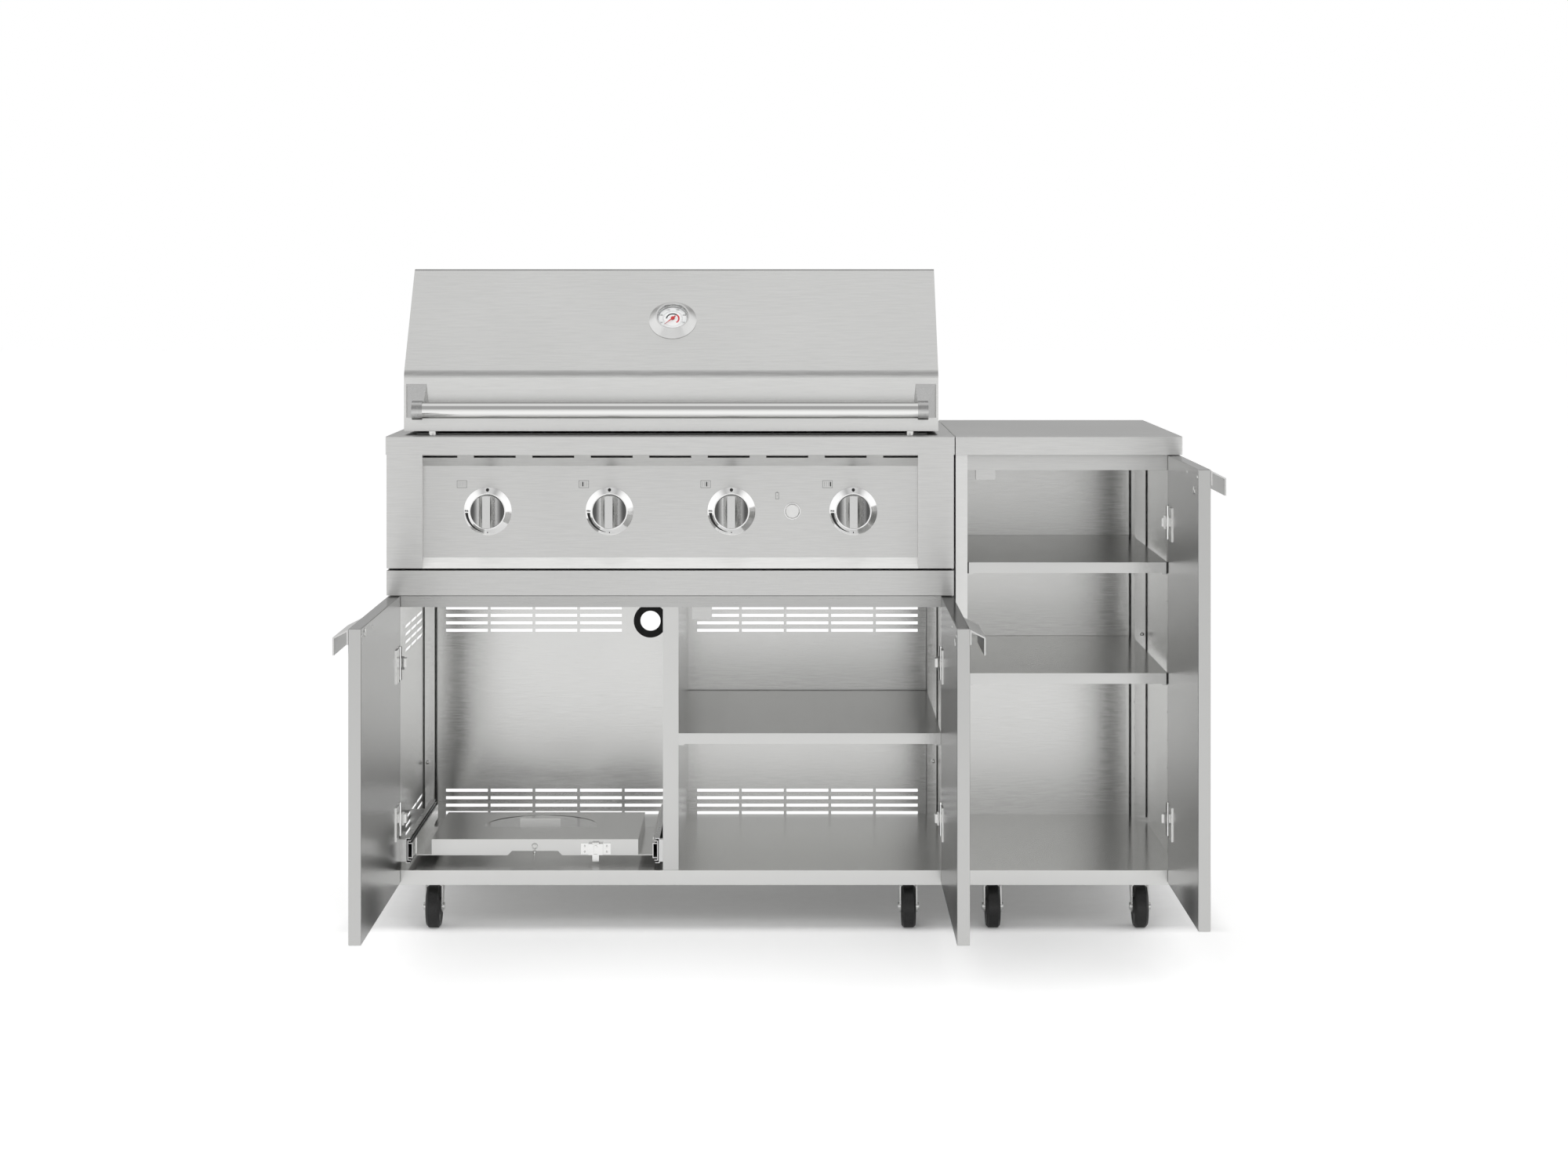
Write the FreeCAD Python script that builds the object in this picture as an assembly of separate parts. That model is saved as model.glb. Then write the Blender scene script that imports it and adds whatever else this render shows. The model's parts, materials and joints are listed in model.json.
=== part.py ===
import FreeCAD, Part
import math
import os

# Outdoor kitchen island in folded stainless sheet: a gas grill on a two-door cabinet, and a storage
# cabinet beside it, both on casters and with their doors open. Sizes are in millimetres. X runs along
# the front, Y from the front to the back, Z up. While modelling, Y = 0 is the front plane of the
# worktops. Each piece is moved at the end, so that the origin lies on the floor under the middle of
# the island's box.

V = FreeCAD.Vector

# Worktops
MAIN_WIDTH = 1018.0
SIDE_WIDTH = 406.0
UNIT_GAP = 1.0
TOP_DEPTH = 597.0
TOP_HEIGHT = 889.0
TOP_FLANGE = 33.0
TOP_SHEET = 2.0
TOP_EDGE_R = 1.5

# Cabinet bodies
SHEET = 1.5
BASE_BOTTOM = 82.0
BASE_HEIGHT = 26.2
POST_WIDTH = 21.0
POST_LIP = 16.0
MAIN_REAR_POST_SETBACK = 40.0
SIDE_REAR_POST_SETBACK = 80.0
SIDE_REAR_POST_WIDTH = 25.0
SIDE_REAR_POST_LIP = 58.0
POST_SLIT = 2.2
POST_SLIT_TAB = 8.0
BACK_INSET = 5.0
DIVIDER_THICK = 28.0

# Front of the grill: head with the control panel, gap, band, then the inner rail of the heat shield
HEAD_HEIGHT = 203.0
HEAD_POST_WIDTH = 64.0
BAND_GAP = 4.0
BAND_HEIGHT = 44.3
SHIELD_DROP = 3.7
RAIL_HEIGHT = 20.0
SIDE_RAIL_DROP = 1.0
SIDE_RAIL_HEIGHT = 28.0

# Shelves
SHELF_FLANGE = 19.0
SHELF_SETBACK = 2.0
MAIN_SHELF_BACK_GAP = 9.0
SIDE_SHELF_BACK_GAP = 3.0
MAIN_SHELF_Z = 354.0
SIDE_SHELF_Z = (462.0, 661.0)
CLIP_WIDTH = 10.0
CLIP_THICK = 3.0
CLIP_INSET = 3.0

# Vent slots in the back and in the side walls of the grill cabinet
VENT_LENGTH = 83.0
VENT_HEIGHT = 6.2
VENT_COLUMN_PITCH = 88.5
VENT_ROW_PITCH = 14.8
VENT_ROWS = 4
VENT_TOP_DROP = 84.0
VENT_FLOOR_RISE = 3.2
WALL_VENT_RISE = 5.0
VENT_LEFT_INSET = 40.8
VENT_RIGHT_INSET = 17.4
WALL_VENT_START = 239.0
HEAD_VENT_INSET = 100.0
HEAD_VENT_ROWS = 3
HEAD_VENT_DROP = 40.0

# Rubber grommet for the gas hose, in the back panel beside the divider
GROMMET_FROM_DIVIDER = 47.0
GROMMET_BELOW_SHIELD = 109.4
GROMMET_OUTER_R = 33.0
GROMMET_NECK_R = 26.0
GROMMET_BORE_R = 20.0
GROMMET_FLANGE = 3.0

# Doors: hollow shells on pins at the middle of their thickness
DOOR_THICK = 21.0
DOOR_GAP = 5.0
DOOR_SKIN = 1.2
DOOR_EDGE_R = 1.5
DOOR_EDGE_INSET = 0.5
DOOR_MEETING_GAP = 3.0
SIDE_DOOR_EDGE_GAP = 1.5
MAIN_DOOR_TOP_GAP = 2.7
SIDE_DOOR_TOP_GAP = 1.5
DOOR_BOTTOM_RISE = 3.3
DRAIN_R = 3.0
DRAIN_INSET = 60.0

# Bent strip pulls at the top outer corner of each door
PULL_LENGTH = 175.0
PULL_REACH = 25.6
PULL_DROP = 13.0
PULL_LIP = 29.0
PULL_SHEET = 2.5
PULL_FLANGE = 25.0

# Door hinges
HINGE_FROM_BOTTOM = 116.0
HINGE_FROM_TOP = 121.0
HINGE_POCKET_LENGTH = 30.0
HINGE_POCKET_DEPTH = 17.5
HINGE_POCKET_HEIGHT = 64.0
HINGE_LEAF_HEIGHT = 60.0
HINGE_LEAF_THICK = 2.0
HINGE_LEAF_REACH = 32.0
HINGE_LEAF_START = 4.0
HINGE_EAR_THICK = 4.0
HINGE_EAR_HALF = 5.0
HINGE_PIN_R = 2.5
HINGE_KNUCKLE_R = 4.2
HINGE_KNUCKLE_HEIGHT = 49.0
HINGE_ARM_THICK = 4.0
HINGE_ARM_HEIGHT = 24.0
HINGE_ARM_RUN = 16.5
HINGE_BLOCK_WIDTH = 11.5
HINGE_BLOCK_OVERLAP = 5.0
HINGE_BLOCK_HEIGHT = 15.6
HINGE_BLOCK_GAP = 2.0
HINGE_BARREL_R = 3.75
HINGE_BARREL_HEIGHT = 60.0
HINGE_BARREL_GAP = 0.25
RUN_GAP = 0.06

# Magnetic catches
CATCH_WIDTH = 35.0
CATCH_HEIGHT = 17.0
CATCH_DEPTH = 14.0
CATCH_INSET = 15.0
MAIN_CATCH_INSET = 24.5
MAIN_CATCH_DROP = 40.5

# Gas bottle tray and its slides
TRAY_FRONT = 80.0
TRAY_DEPTH = 276.0
TRAY_TOP_Z = 154.0
TRAY_HEIGHT = 29.0
TRAY_BOX_INSET = 28.3
TRAY_SIDE_HEIGHT = 33.0
TRAY_HOLE_WIDTH = 206.0
TRAY_HOLE_RISE = 122.0
TRAY_HOLE_START = 124.0
TRAY_TAB_WIDTH = 75.0
TRAY_TAB_HEIGHT = 16.0
TRAY_NOTCH_WIDTH = 99.0
TRAY_NOTCH_HEIGHT = 8.0
SLIDE_LENGTH = 400.0
SLIDE_HEIGHT = 45.0
SLIDE_THICK = 12.7
SLIDE_START = 4.0
SLIDE_FLANGE = 8.0
SLIDE_BALL_GAP = 3.0
SLIDE_WALL_GAP = 9.5
SLIDE_DIVIDER_GAP = 6.0
SPACER_LENGTH = 12.0
SPACER_HEIGHT = 40.0
SPACER_REAR = 330.0
LATCH_FROM_CENTRE = 110.5
LATCH_PLATE_WIDTH = 54.0
LATCH_CASE_WIDTH = 26.0
LATCH_CASE_HEIGHT = 20.0
LATCH_CASE_DEPTH = 9.0
LATCH_CASE_Z = 127.0
LATCH_BOLT_WIDTH = 12.0
LATCH_BOLT_DEPTH = 5.0
LATCH_BOLT_TIP_Z = 115.0
LATCH_BOLT_PROUD = 2.0
LATCH_STUD_R = 3.0
LATCH_STUD_DROP = 5.5
LATCH_TRAVEL = 10.0
SLIP = 0.4

# Control panel, knobs and igniter
PANEL_RECESS = 18.0
PANEL_TOP_BEVEL = 21.0
PANEL_SLOTS = 9
PANEL_SLOT_PITCH = 104.6
PANEL_SLOT_LENGTH = 75.0
PANEL_SLOT_HEIGHT = 4.0
PANEL_SLOT_DROP = 1.5
KNOB_COUNT = 4
KNOB_END_INSET = 115.25
KNOB_DROP = 102.0
KNOB_R = 29.5
KNOB_DISC = 13.0
KNOB_BASE_GAP = 1.0
KNOB_BAR_WIDTH = 13.5
KNOB_BAR_HEIGHT = 19.0
KNOB_CHAMFER = 1.0
BEZEL_R = 43.0
BEZEL_TOP_R = 32.5
BEZEL_BORE_R = 30.5
BEZEL_HEIGHT = 9.0
STEM_R = 4.0
STEM_DEPTH = 26.0
STEM_HOLE_R = 7.0
IGNITER_R = 13.0
IGNITER_RING_R = 14.5
IGNITER_PROUD = 2.5
IGNITER_LENGTH = 22.0
IGNITER_CASE_R = 16.0
IGNITER_CASE_LENGTH = 24.0

# Gas manifold behind the panel
MANIFOLD_R = 10.0
MANIFOLD_Y = 56.0
MANIFOLD_END = 70.0
VALVE_R = 11.0
VALVE_FRONT_GAP = 6.0
RISER_R = 5.0
ORIFICE_REACH = 18.0
MANIFOLD_BRACKET = 8.0
INLET_DROP = 60.0

# Firebox and what lies in it
BOX_SIDE_INSET = 30.0
BOX_FRONT = 85.0
BOX_REAR_INSET = 57.0
BOX_SHEET = 2.0
BOX_LIP = 10.0
BOX_LIP_THICK = 1.5
BOX_WALL_HEIGHT = 119.0
HOPPER_HEIGHT = 80.0
DRAIN_LENGTH = 600.0
DRAIN_WIDTH = 120.0
BOX_CLEAR = 0.5
LEDGE_WIDTH = 14.0
GRATE_LEDGE_DROP = 21.0
PLATE_LEDGE_DROP = 61.0
BURNER_DROP = 89.0
BURNER_R = 12.5
BURNER_WALL = 1.2
BURNER_FRONT_REACH = 23.0
BURNER_REAR_GAP = 35.0
BURNER_FLANGE = 36.0
BURNER_TONGUE_WIDTH = 16.0
BURNER_TONGUE_REACH = 31.0
HEAT_PLATE_WIDTH = 90.0
HEAT_PLATE_RISE = 30.0
GRATE_COUNT = 3
GRATE_GAP = 2.0
GRATE_HEIGHT = 12.0
GRATE_BAR = 8.0
GRATE_END_BAR = 12.0
GRATE_BARS = 13
RACK_REAR_GAP = 70.0
RACK_DEPTH = 130.0
RACK_RISE = 131.0
RACK_LEG_R = 3.5
RACK_RAIL_R = 3.0
RACK_ROD_R = 2.2
RACK_END_INSET = 6.0
RACK_RODS = 7

# Grease tray under the firebox
GREASE_SIDE_INSET = 50.0
GREASE_HEIGHT = 34.0
GREASE_FRONT = 60.0
GREASE_PLATE_MARGIN = 12.0
GREASE_PLATE_HEIGHT = 44.0
GREASE_NOTCH_WIDTH = 100.0
GREASE_NOTCH_HEIGHT = 8.0
GREASE_GUIDE_HEIGHT = 10.0

# Hood: front wall, slope, top and rear, then its hinge, stops and handle
HOOD_END_INSET = 27.2
HOOD_SETBACK = 48.0
HOOD_REAR_INSET = 44.0
HOOD_LIFT = 7.0
HOOD_FRONT_HEIGHT = 104.0
HOOD_HEIGHT = 292.0
HOOD_SLOPE_RUN = 162.0
HOOD_REAR_RUN = 123.0
HOOD_REAR_HEIGHT = 154.0
HOOD_SHEET = 1.5
HOOD_FRONT_BEND_R = 22.0
HOOD_TOP_BEND_R = 16.0
HOOD_REAR_BEND_R = 40.0
HOOD_PIVOT_INSET = 18.0
HOOD_PIVOT_RISE = 50.0
HOOD_PIN_R = 4.0
HOOD_BOSS_R = 9.0
HOOD_BOSS_THICK = 4.0
HOOD_EAR_THICK = 4.0
HOOD_EAR_GAP = 1.0
HOOD_EAR_R = 12.0
HOOD_FOOT = 14.0
HOOD_STOP_R = 7.0
HOOD_STOP_INSET = 51.5
HANDLE_R = 14.5
HANDLE_WALL = 1.5
HANDLE_RISE = 46.5
HANDLE_Y = 3.0
HANDLE_INSET = 20.5
COLLAR_LENGTH = 18.5
COLLAR_R = 17.0
BRACKET_FOOT_DROP = 15.5
BRACKET_FOOT_RISE = 45.5
BRACKET_FOOT_OUT = 16.5
BRACKET_FOOT_IN = 8.0
BRACKET_TOP_IN = 2.0
BRACKET_NECK_HALF = 14.0
BRACKET_NECK_GAP = 0.5

# Thermometer on the middle of the hood's slope
DIAL_R = 27.0
DIAL_LENS_R = 28.5
DIAL_BEZEL_R = 43.5
DIAL_FRONT_R = 31.0
DIAL_HEIGHT = 14.0
DIAL_FLOOR = 5.0
DIAL_LENS_SEAT = 10.5
DIAL_LENS_THICK = 2.0
DIAL_LENS_GAP = 0.1
PROBE_R = 5.0
PROBE_LENGTH = 55.0
PROBE_HOLE_R = 6.0
POINTER_LENGTH = 21.0
POINTER_TAIL = 7.0
POINTER_WIDTH = 2.4
POINTER_LIFT = 2.0
POINTER_THICK = 1.0
POINTER_HUB_R = 3.5
SPINDLE_R = 1.0
SPINDLE_DEPTH = 3.0
POINTER_REST_ANGLE = 225.0

# Casters
WHEEL_R = 38.0
WHEEL_WIDTH = 25.0
WHEEL_CHAMFER = 4.0
WHEEL_HUB_R = 13.0
WHEEL_HUB_PROUD = 0.6
WHEEL_GAP = 1.0
AXLE_R = 4.0
AXLE_HEAD_R = 6.5
AXLE_HEAD = 3.0
FORK_THICK = 2.5
FORK_END_R = 11.0
FORK_CROWN_R = 24.0
FORK_CROWN_THICK = 4.0
FORK_TRAIL = 28.0
FORK_TOP_FRONT = 24.0
FORK_TOP_REAR = 14.0
PLATE_SIZE = 64.0
PLATE_THICK = 3.0
KINGPIN_R = 6.0
KINGPIN_HEAD_R = 10.0
KINGPIN_HEAD = 4.0
SWIVEL_GAP = 0.5
MAIN_CASTER_INSET = 79.0
SIDE_CASTER_INSET = 68.0
CASTER_FRONT = 59.0
CASTER_REAR = 75.0

# Places worked out from the sizes above
ISLAND_WIDTH = MAIN_WIDTH + UNIT_GAP + SIDE_WIDTH
MAIN_X0 = -ISLAND_WIDTH / 2
MAIN_X1 = MAIN_X0 + MAIN_WIDTH
SIDE_X0 = MAIN_X1 + UNIT_GAP
SIDE_X1 = SIDE_X0 + SIDE_WIDTH
MAIN_CX = (MAIN_X0 + MAIN_X1) / 2
CAB_X0 = MAIN_X0 + TOP_SHEET
CAB_X1 = MAIN_X1 - TOP_SHEET
STORE_X0 = SIDE_X0 + TOP_SHEET
STORE_X1 = SIDE_X1 - TOP_SHEET
DIVIDER_X0 = MAIN_CX - DIVIDER_THICK / 2
DIVIDER_X1 = MAIN_CX + DIVIDER_THICK / 2
CAB_FRONT = DOOR_THICK + DOOR_GAP
BACK_OUT = TOP_DEPTH - BACK_INSET
BACK_IN = BACK_OUT - SHEET
FLOOR_Z = BASE_BOTTOM + BASE_HEIGHT
TOP_UNDER = TOP_HEIGHT - TOP_SHEET
HEAD_TOP = TOP_HEIGHT - TOP_FLANGE
HEAD_Z = HEAD_TOP - HEAD_HEIGHT
BAND_TOP = HEAD_Z - BAND_GAP
BAND_Z = BAND_TOP - BAND_HEIGHT
SHIELD_TOP = BAND_Z - SHIELD_DROP
SHIELD_UNDER = SHIELD_TOP - SHEET
PANEL_X0 = CAB_X0 + HEAD_POST_WIDTH
PANEL_X1 = CAB_X1 - HEAD_POST_WIDTH
PANEL_BACK = PANEL_RECESS + SHEET
KNOB_Z = HEAD_TOP - KNOB_DROP
KNOB_PITCH = (PANEL_X1 - PANEL_X0 - 2 * KNOB_END_INSET) / (KNOB_COUNT - 1)
KNOB_XS = [PANEL_X0 + KNOB_END_INSET + KNOB_PITCH * i for i in range(KNOB_COUNT)]
IGNITER_X = (KNOB_XS[-2] + KNOB_XS[-1]) / 2
BURNER_Z = TOP_HEIGHT - BURNER_DROP
HOOD_X0 = MAIN_X0 + HOOD_END_INSET
HOOD_X1 = MAIN_X1 - HOOD_END_INSET
BOX_X0 = HOOD_X0 + BOX_SIDE_INSET
BOX_X1 = HOOD_X1 - BOX_SIDE_INSET
BOX_BACK = TOP_DEPTH - BOX_REAR_INSET
BOX_WALL_Z = TOP_HEIGHT - BOX_WALL_HEIGHT
HOPPER_Z = BOX_WALL_Z - HOPPER_HEIGHT
GRATE_Z = TOP_HEIGHT - GRATE_LEDGE_DROP
RACK_Z = TOP_HEIGHT + RACK_RISE
RACK_Y1 = BOX_BACK - RACK_REAR_GAP
RACK_Y0 = RACK_Y1 - RACK_DEPTH
GREASE_X0 = BOX_X0 + GREASE_SIDE_INSET
GREASE_X1 = BOX_X1 - GREASE_SIDE_INSET
HOOD_Z = TOP_HEIGHT + HOOD_LIFT
HOOD_BACK = TOP_DEPTH - HOOD_REAR_INSET
HOOD_PIVOT_Y = HOOD_BACK - HOOD_PIVOT_INSET
HOOD_PIVOT_Z = TOP_HEIGHT + HOOD_PIVOT_RISE
HANDLE_Z = TOP_HEIGHT + HANDLE_RISE
HANDLE_X0 = HOOD_X0 + HANDLE_INSET
HANDLE_X1 = HOOD_X1 - HANDLE_INSET
HINGE_EDGE_Y = CAB_FRONT - DOOR_GAP
DOOR_BOTTOM = BASE_BOTTOM + DOOR_BOTTOM_RISE
MAIN_DOOR_LENGTH = (CAB_X1 - CAB_X0 - 2 * DOOR_EDGE_INSET - DOOR_MEETING_GAP) / 2
SIDE_DOOR_LENGTH = STORE_X1 - STORE_X0 - DOOR_EDGE_INSET - SIDE_DOOR_EDGE_GAP
SLIDE_LEFT_X = CAB_X0 + POST_WIDTH + SLIDE_WALL_GAP
SLIDE_RIGHT_X = DIVIDER_X0 - SLIDE_DIVIDER_GAP
TRAY_CX = (SLIDE_LEFT_X + SLIDE_RIGHT_X) / 2
TRAY_BOTTOM_Z = TRAY_TOP_Z - TRAY_HEIGHT
SLIDE_Z = TRAY_BOTTOM_Z + SLIDE_HEIGHT / 2 - 3 * SHEET
SLIDE_Y0 = CAB_FRONT + SLIDE_START
LATCH_X = TRAY_CX + LATCH_FROM_CENTRE
AXLE_Z = WHEEL_R
PLATE_Z = FLOOR_Z - SHEET - PLATE_THICK
CASTER_FRONT_Y = CAB_FRONT + CASTER_FRONT
CASTER_REAR_Y = BACK_IN - CASTER_REAR
MAIN_CASTER_XS = (CAB_X0 + MAIN_CASTER_INSET, CAB_X1 - MAIN_CASTER_INSET)
SIDE_CASTER_XS = (STORE_X0 + SIDE_CASTER_INSET, STORE_X1 - SIDE_CASTER_INSET)
ORIGIN_Y = (HINGE_EDGE_Y - MAIN_DOOR_LENGTH + TOP_DEPTH) / 2

# Each door: X of its outer face while open, the way its inner face looks (+1 or -1 along X), its length
# and its top
DOORS = {
    "left_door": (CAB_X0 + DOOR_EDGE_INSET, 1, MAIN_DOOR_LENGTH, BAND_Z - MAIN_DOOR_TOP_GAP),
    "right_door": (CAB_X1 - DOOR_EDGE_INSET, -1, MAIN_DOOR_LENGTH, BAND_Z - MAIN_DOOR_TOP_GAP),
    "side_door": (STORE_X1 - DOOR_EDGE_INSET, -1, SIDE_DOOR_LENGTH, HEAD_TOP - SIDE_DOOR_TOP_GAP),
}

# The slope's middle and its outward normal carry the thermometer
SLOPE_RISE = HOOD_HEIGHT - HOOD_FRONT_HEIGHT
SLOPE_LENGTH = math.hypot(HOOD_SLOPE_RUN, SLOPE_RISE)
DIAL_NORMAL = V(0, -SLOPE_RISE / SLOPE_LENGTH, HOOD_SLOPE_RUN / SLOPE_LENGTH)
DIAL_UP = V(0, HOOD_SLOPE_RUN / SLOPE_LENGTH, SLOPE_RISE / SLOPE_LENGTH)
DIAL_CENTRE = V(MAIN_CX, HOOD_SETBACK + HOOD_SLOPE_RUN / 2, HOOD_Z + HOOD_FRONT_HEIGHT + SLOPE_RISE / 2)


# General shapes

def slab(xa, xb, ya, yb, za, zb):
    """Box between two opposite corners."""
    low = V(min(xa, xb), min(ya, yb), min(za, zb))
    return Part.makeBox(abs(xb - xa), abs(yb - ya), abs(zb - za), low)


def rod(start, end, radius):
    """Round bar from start to end."""
    axis = V(*end) - V(*start)
    return Part.makeCylinder(radius, axis.Length, V(*start), axis)


def prism(points, direction):
    """Closed outline of points, extruded along direction."""
    corners = [V(*p) for p in points]
    return Part.Face(Part.makePolygon(corners + corners[:1])).extrude(V(*direction))


def revolved(profile, base, axis):
    """Closed profile of (radius, height) points, turned about axis from base."""
    corners = [V(radius, 0, height) for radius, height in profile]
    face = Part.Face(Part.makePolygon(corners + corners[:1]))
    shape = face.revolve(V(0, 0, 0), V(0, 0, 1), 360)
    shape.Placement = FreeCAD.Placement(V(*base), FreeCAD.Rotation(V(0, 0, 1), V(*axis)))
    return shape


def six_faced(low, high):
    """Solid between two outlines of four corners, given in the same order."""
    outlines = [low, high]
    for i in range(len(low)):
        outlines.append((low[i - 1], low[i], high[i], high[i - 1]))
    faces = []
    for outline in outlines:
        corners = [V(*corner) for corner in outline]
        faces.append(Part.Face(Part.makePolygon(corners + corners[:1])))
    shell = Part.makeShell(faces)
    shell.sewShape()
    return Part.makeSolid(shell)


def joined(shapes):
    """One solid from shapes that touch or overlap."""
    return shapes[0].fuse(shapes[1:]).removeSplitter()


def group(shapes):
    """Separate solids that share a node."""
    return Part.makeCompound(shapes)


def inset(corners, distance):
    """Outline of (a, b, radius) corners, given counter-clockwise, moved inwards by distance."""
    count = len(corners)
    moved = []
    for i in range(count):
        a, b, radius = corners[i]
        before = corners[i - 1]
        after = corners[(i + 1) % count]
        first = V(a - before[0], b - before[1], 0).normalize()
        second = V(after[0] - a, after[1] - b, 0).normalize()
        normal_1 = V(-first.y, first.x, 0)
        normal_2 = V(-second.y, second.x, 0)
        shift = (normal_1 + normal_2) * (distance / (1 + normal_1.dot(normal_2)))
        moved.append((a + shift.x, b + shift.y, max(radius - distance, 0)))
    return moved


def rounded_face(corners, x):
    """Face in the plane X = x from (y, z, radius) corners, each rounded by its own radius."""
    count = len(corners)
    edges = []
    last = None
    first = None
    for i in range(count):
        y, z, radius = corners[i]
        here = V(x, y, z)
        back = (V(x, corners[i - 1][0], corners[i - 1][1]) - here).normalize()
        ahead = (V(x, *corners[(i + 1) % count][:2]) - here).normalize()
        half = back.getAngle(ahead) / 2
        start = here + back * (radius / math.tan(half))
        end = here + ahead * (radius / math.tan(half))
        if last is None:
            first = start
        else:
            edges.append(Part.LineSegment(last, start).toShape())
        if radius > 0:
            middle = (back + ahead).normalize() * (radius / math.sin(half) - radius)
            edges.append(Part.Arc(start, here + middle, end).toShape())
        last = end
    edges.append(Part.LineSegment(last, first).toShape())
    return Part.Face(Part.Wire(edges))


def slots(columns, rows, size, pitch, first, depth, along):
    """Pattern of slot cutters, rows downwards from the first slot's low corner. along is X or Y."""
    length, height = size
    cutters = []
    for column in range(columns):
        for row in range(rows):
            a = first[0] + column * pitch[0]
            z = first[1] - row * pitch[1]
            if along == "X":
                cutters.append(slab(a, a + length, depth[0], depth[1], z, z + height))
            else:
                cutters.append(slab(depth[0], depth[1], a, a + length, z, z + height))
    return cutters


# Cabinet bodies

def base_pan(x0, x1):
    """Upside-down tray that the panels stand on."""
    outer = slab(x0, x1, CAB_FRONT, BACK_IN, BASE_BOTTOM, FLOOR_Z)
    hollow = slab(x0 + SHEET, x1 - SHEET, CAB_FRONT + SHEET, BACK_IN - SHEET, BASE_BOTTOM, FLOOR_Z - SHEET)
    return outer.cut(hollow)


def base_pans():
    """Both base pans. The grill cabinet's floor has a slot for the tray's latch bolt."""
    y0, y1 = bolt_span()
    half = LATCH_BOLT_WIDTH / 2 + SLIP
    slot = slab(LATCH_X - half, LATCH_X + half, y0 - SLIP, y1 + SLIP, BASE_BOTTOM, FLOOR_Z + SHEET)
    return group([base_pan(CAB_X0, CAB_X1).cut(slot), base_pan(STORE_X0, STORE_X1)])


def side_panel(x_out, inward, top, rear_setback, rear_width, rear_lip):
    """Wall folded into a front post with a lip, and a rear post held by tabs above and below a slit."""
    rear_y = BACK_IN - rear_setback
    front_x = x_out + inward * POST_WIDTH
    rear_x = x_out + inward * rear_width
    web = slab(x_out, x_out + inward * SHEET, CAB_FRONT, BACK_IN, FLOOR_Z, top)
    front = slab(x_out, front_x, CAB_FRONT, CAB_FRONT + SHEET, FLOOR_Z, top)
    front_lip = slab(front_x, front_x - inward * SHEET, CAB_FRONT, CAB_FRONT + POST_LIP, FLOOR_Z, top)
    rear = slab(x_out, rear_x, rear_y, rear_y + SHEET, FLOOR_Z, top)
    slit_x = x_out + inward * SHEET
    slit = slab(slit_x, slit_x + inward * POST_SLIT, rear_y, rear_y + SHEET,
                FLOOR_Z + POST_SLIT_TAB, top - POST_SLIT_TAB)
    lip = slab(rear_x, rear_x - inward * SHEET, rear_y, rear_y + rear_lip, FLOOR_Z, top)
    return joined([web, front, front_lip, rear.cut(slit), lip])


def vent_rows(floor_rise):
    """Z of the upper and of the lower block of vents: low edge of the first slot in each."""
    upper = SHIELD_TOP - VENT_TOP_DROP - VENT_HEIGHT / 2
    lower = FLOOR_Z + floor_rise + (VENT_ROWS - 1) * VENT_ROW_PITCH - VENT_HEIGHT / 2
    return upper, lower


def vents(start, end, z, depth, along, rows=VENT_ROWS):
    """Block of vent slots with as many columns as fit between start and end."""
    columns = int((end - start) / VENT_COLUMN_PITCH)
    size = (VENT_LENGTH, VENT_HEIGHT)
    pitch = (VENT_COLUMN_PITCH, VENT_ROW_PITCH)
    return slots(columns, rows, size, pitch, (start, z), depth, along)


def main_side_panels():
    """Left and right wall of the grill cabinet, with vents high and low."""
    walls = []
    for x_out, inward in ((CAB_X0, 1), (CAB_X1, -1)):
        wall = side_panel(x_out, inward, BAND_TOP, MAIN_REAR_POST_SETBACK, POST_WIDTH, POST_LIP)
        depth = (x_out - SHEET, x_out + inward * 2 * SHEET)
        start = CAB_FRONT + WALL_VENT_START
        end = BACK_IN - MAIN_REAR_POST_SETBACK
        cutters = []
        for z in vent_rows(WALL_VENT_RISE):
            cutters += vents(start, end, z, depth, "Y")
        walls.append(wall.cut(cutters))
    return walls


def side_cabinet_panels():
    """Left and right wall of the storage cabinet."""
    rear = (SIDE_REAR_POST_SETBACK, SIDE_REAR_POST_WIDTH, SIDE_REAR_POST_LIP)
    return [side_panel(STORE_X0, 1, TOP_UNDER, *rear), side_panel(STORE_X1, -1, TOP_UNDER, *rear)]


def grommet_centre():
    """X and Z of the gas hose grommet."""
    return DIVIDER_X0 - GROMMET_FROM_DIVIDER, SHIELD_TOP - GROMMET_BELOW_SHIELD


def main_back_panel():
    """Back of the grill cabinet: vents, hose hole and the opening for the grease tray."""
    panel = slab(CAB_X0, CAB_X1, BACK_IN, BACK_OUT, BASE_BOTTOM, BAND_TOP)
    depth = (BACK_IN - SHEET, BACK_OUT + SHEET)
    upper, lower = vent_rows(VENT_FLOOR_RISE)
    x, z = grommet_centre()
    left = CAB_X0 + VENT_LEFT_INSET
    right = DIVIDER_X1 + VENT_RIGHT_INSET
    right_end = CAB_X1 - POST_WIDTH
    cutters = vents(left, x - GROMMET_OUTER_R, upper, depth, "X")
    cutters += vents(left, DIVIDER_X0, lower, depth, "X")
    cutters += vents(right, right_end, upper, depth, "X")
    cutters += vents(right, right_end, lower, depth, "X")
    cutters.append(rod((x, depth[0], z), (x, depth[1], z), GROMMET_NECK_R))
    tray_top = SHIELD_TOP + SLIP + GREASE_HEIGHT + SLIP
    cutters.append(slab(GREASE_X0 - SLIP, GREASE_X1 + SLIP, depth[0], depth[1], SHIELD_TOP, tray_top))
    return panel.cut(cutters)


def side_back_panel():
    """Plain back of the storage cabinet."""
    return slab(STORE_X0, STORE_X1, BACK_IN, BACK_OUT, BASE_BOTTOM, TOP_UNDER)


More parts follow.
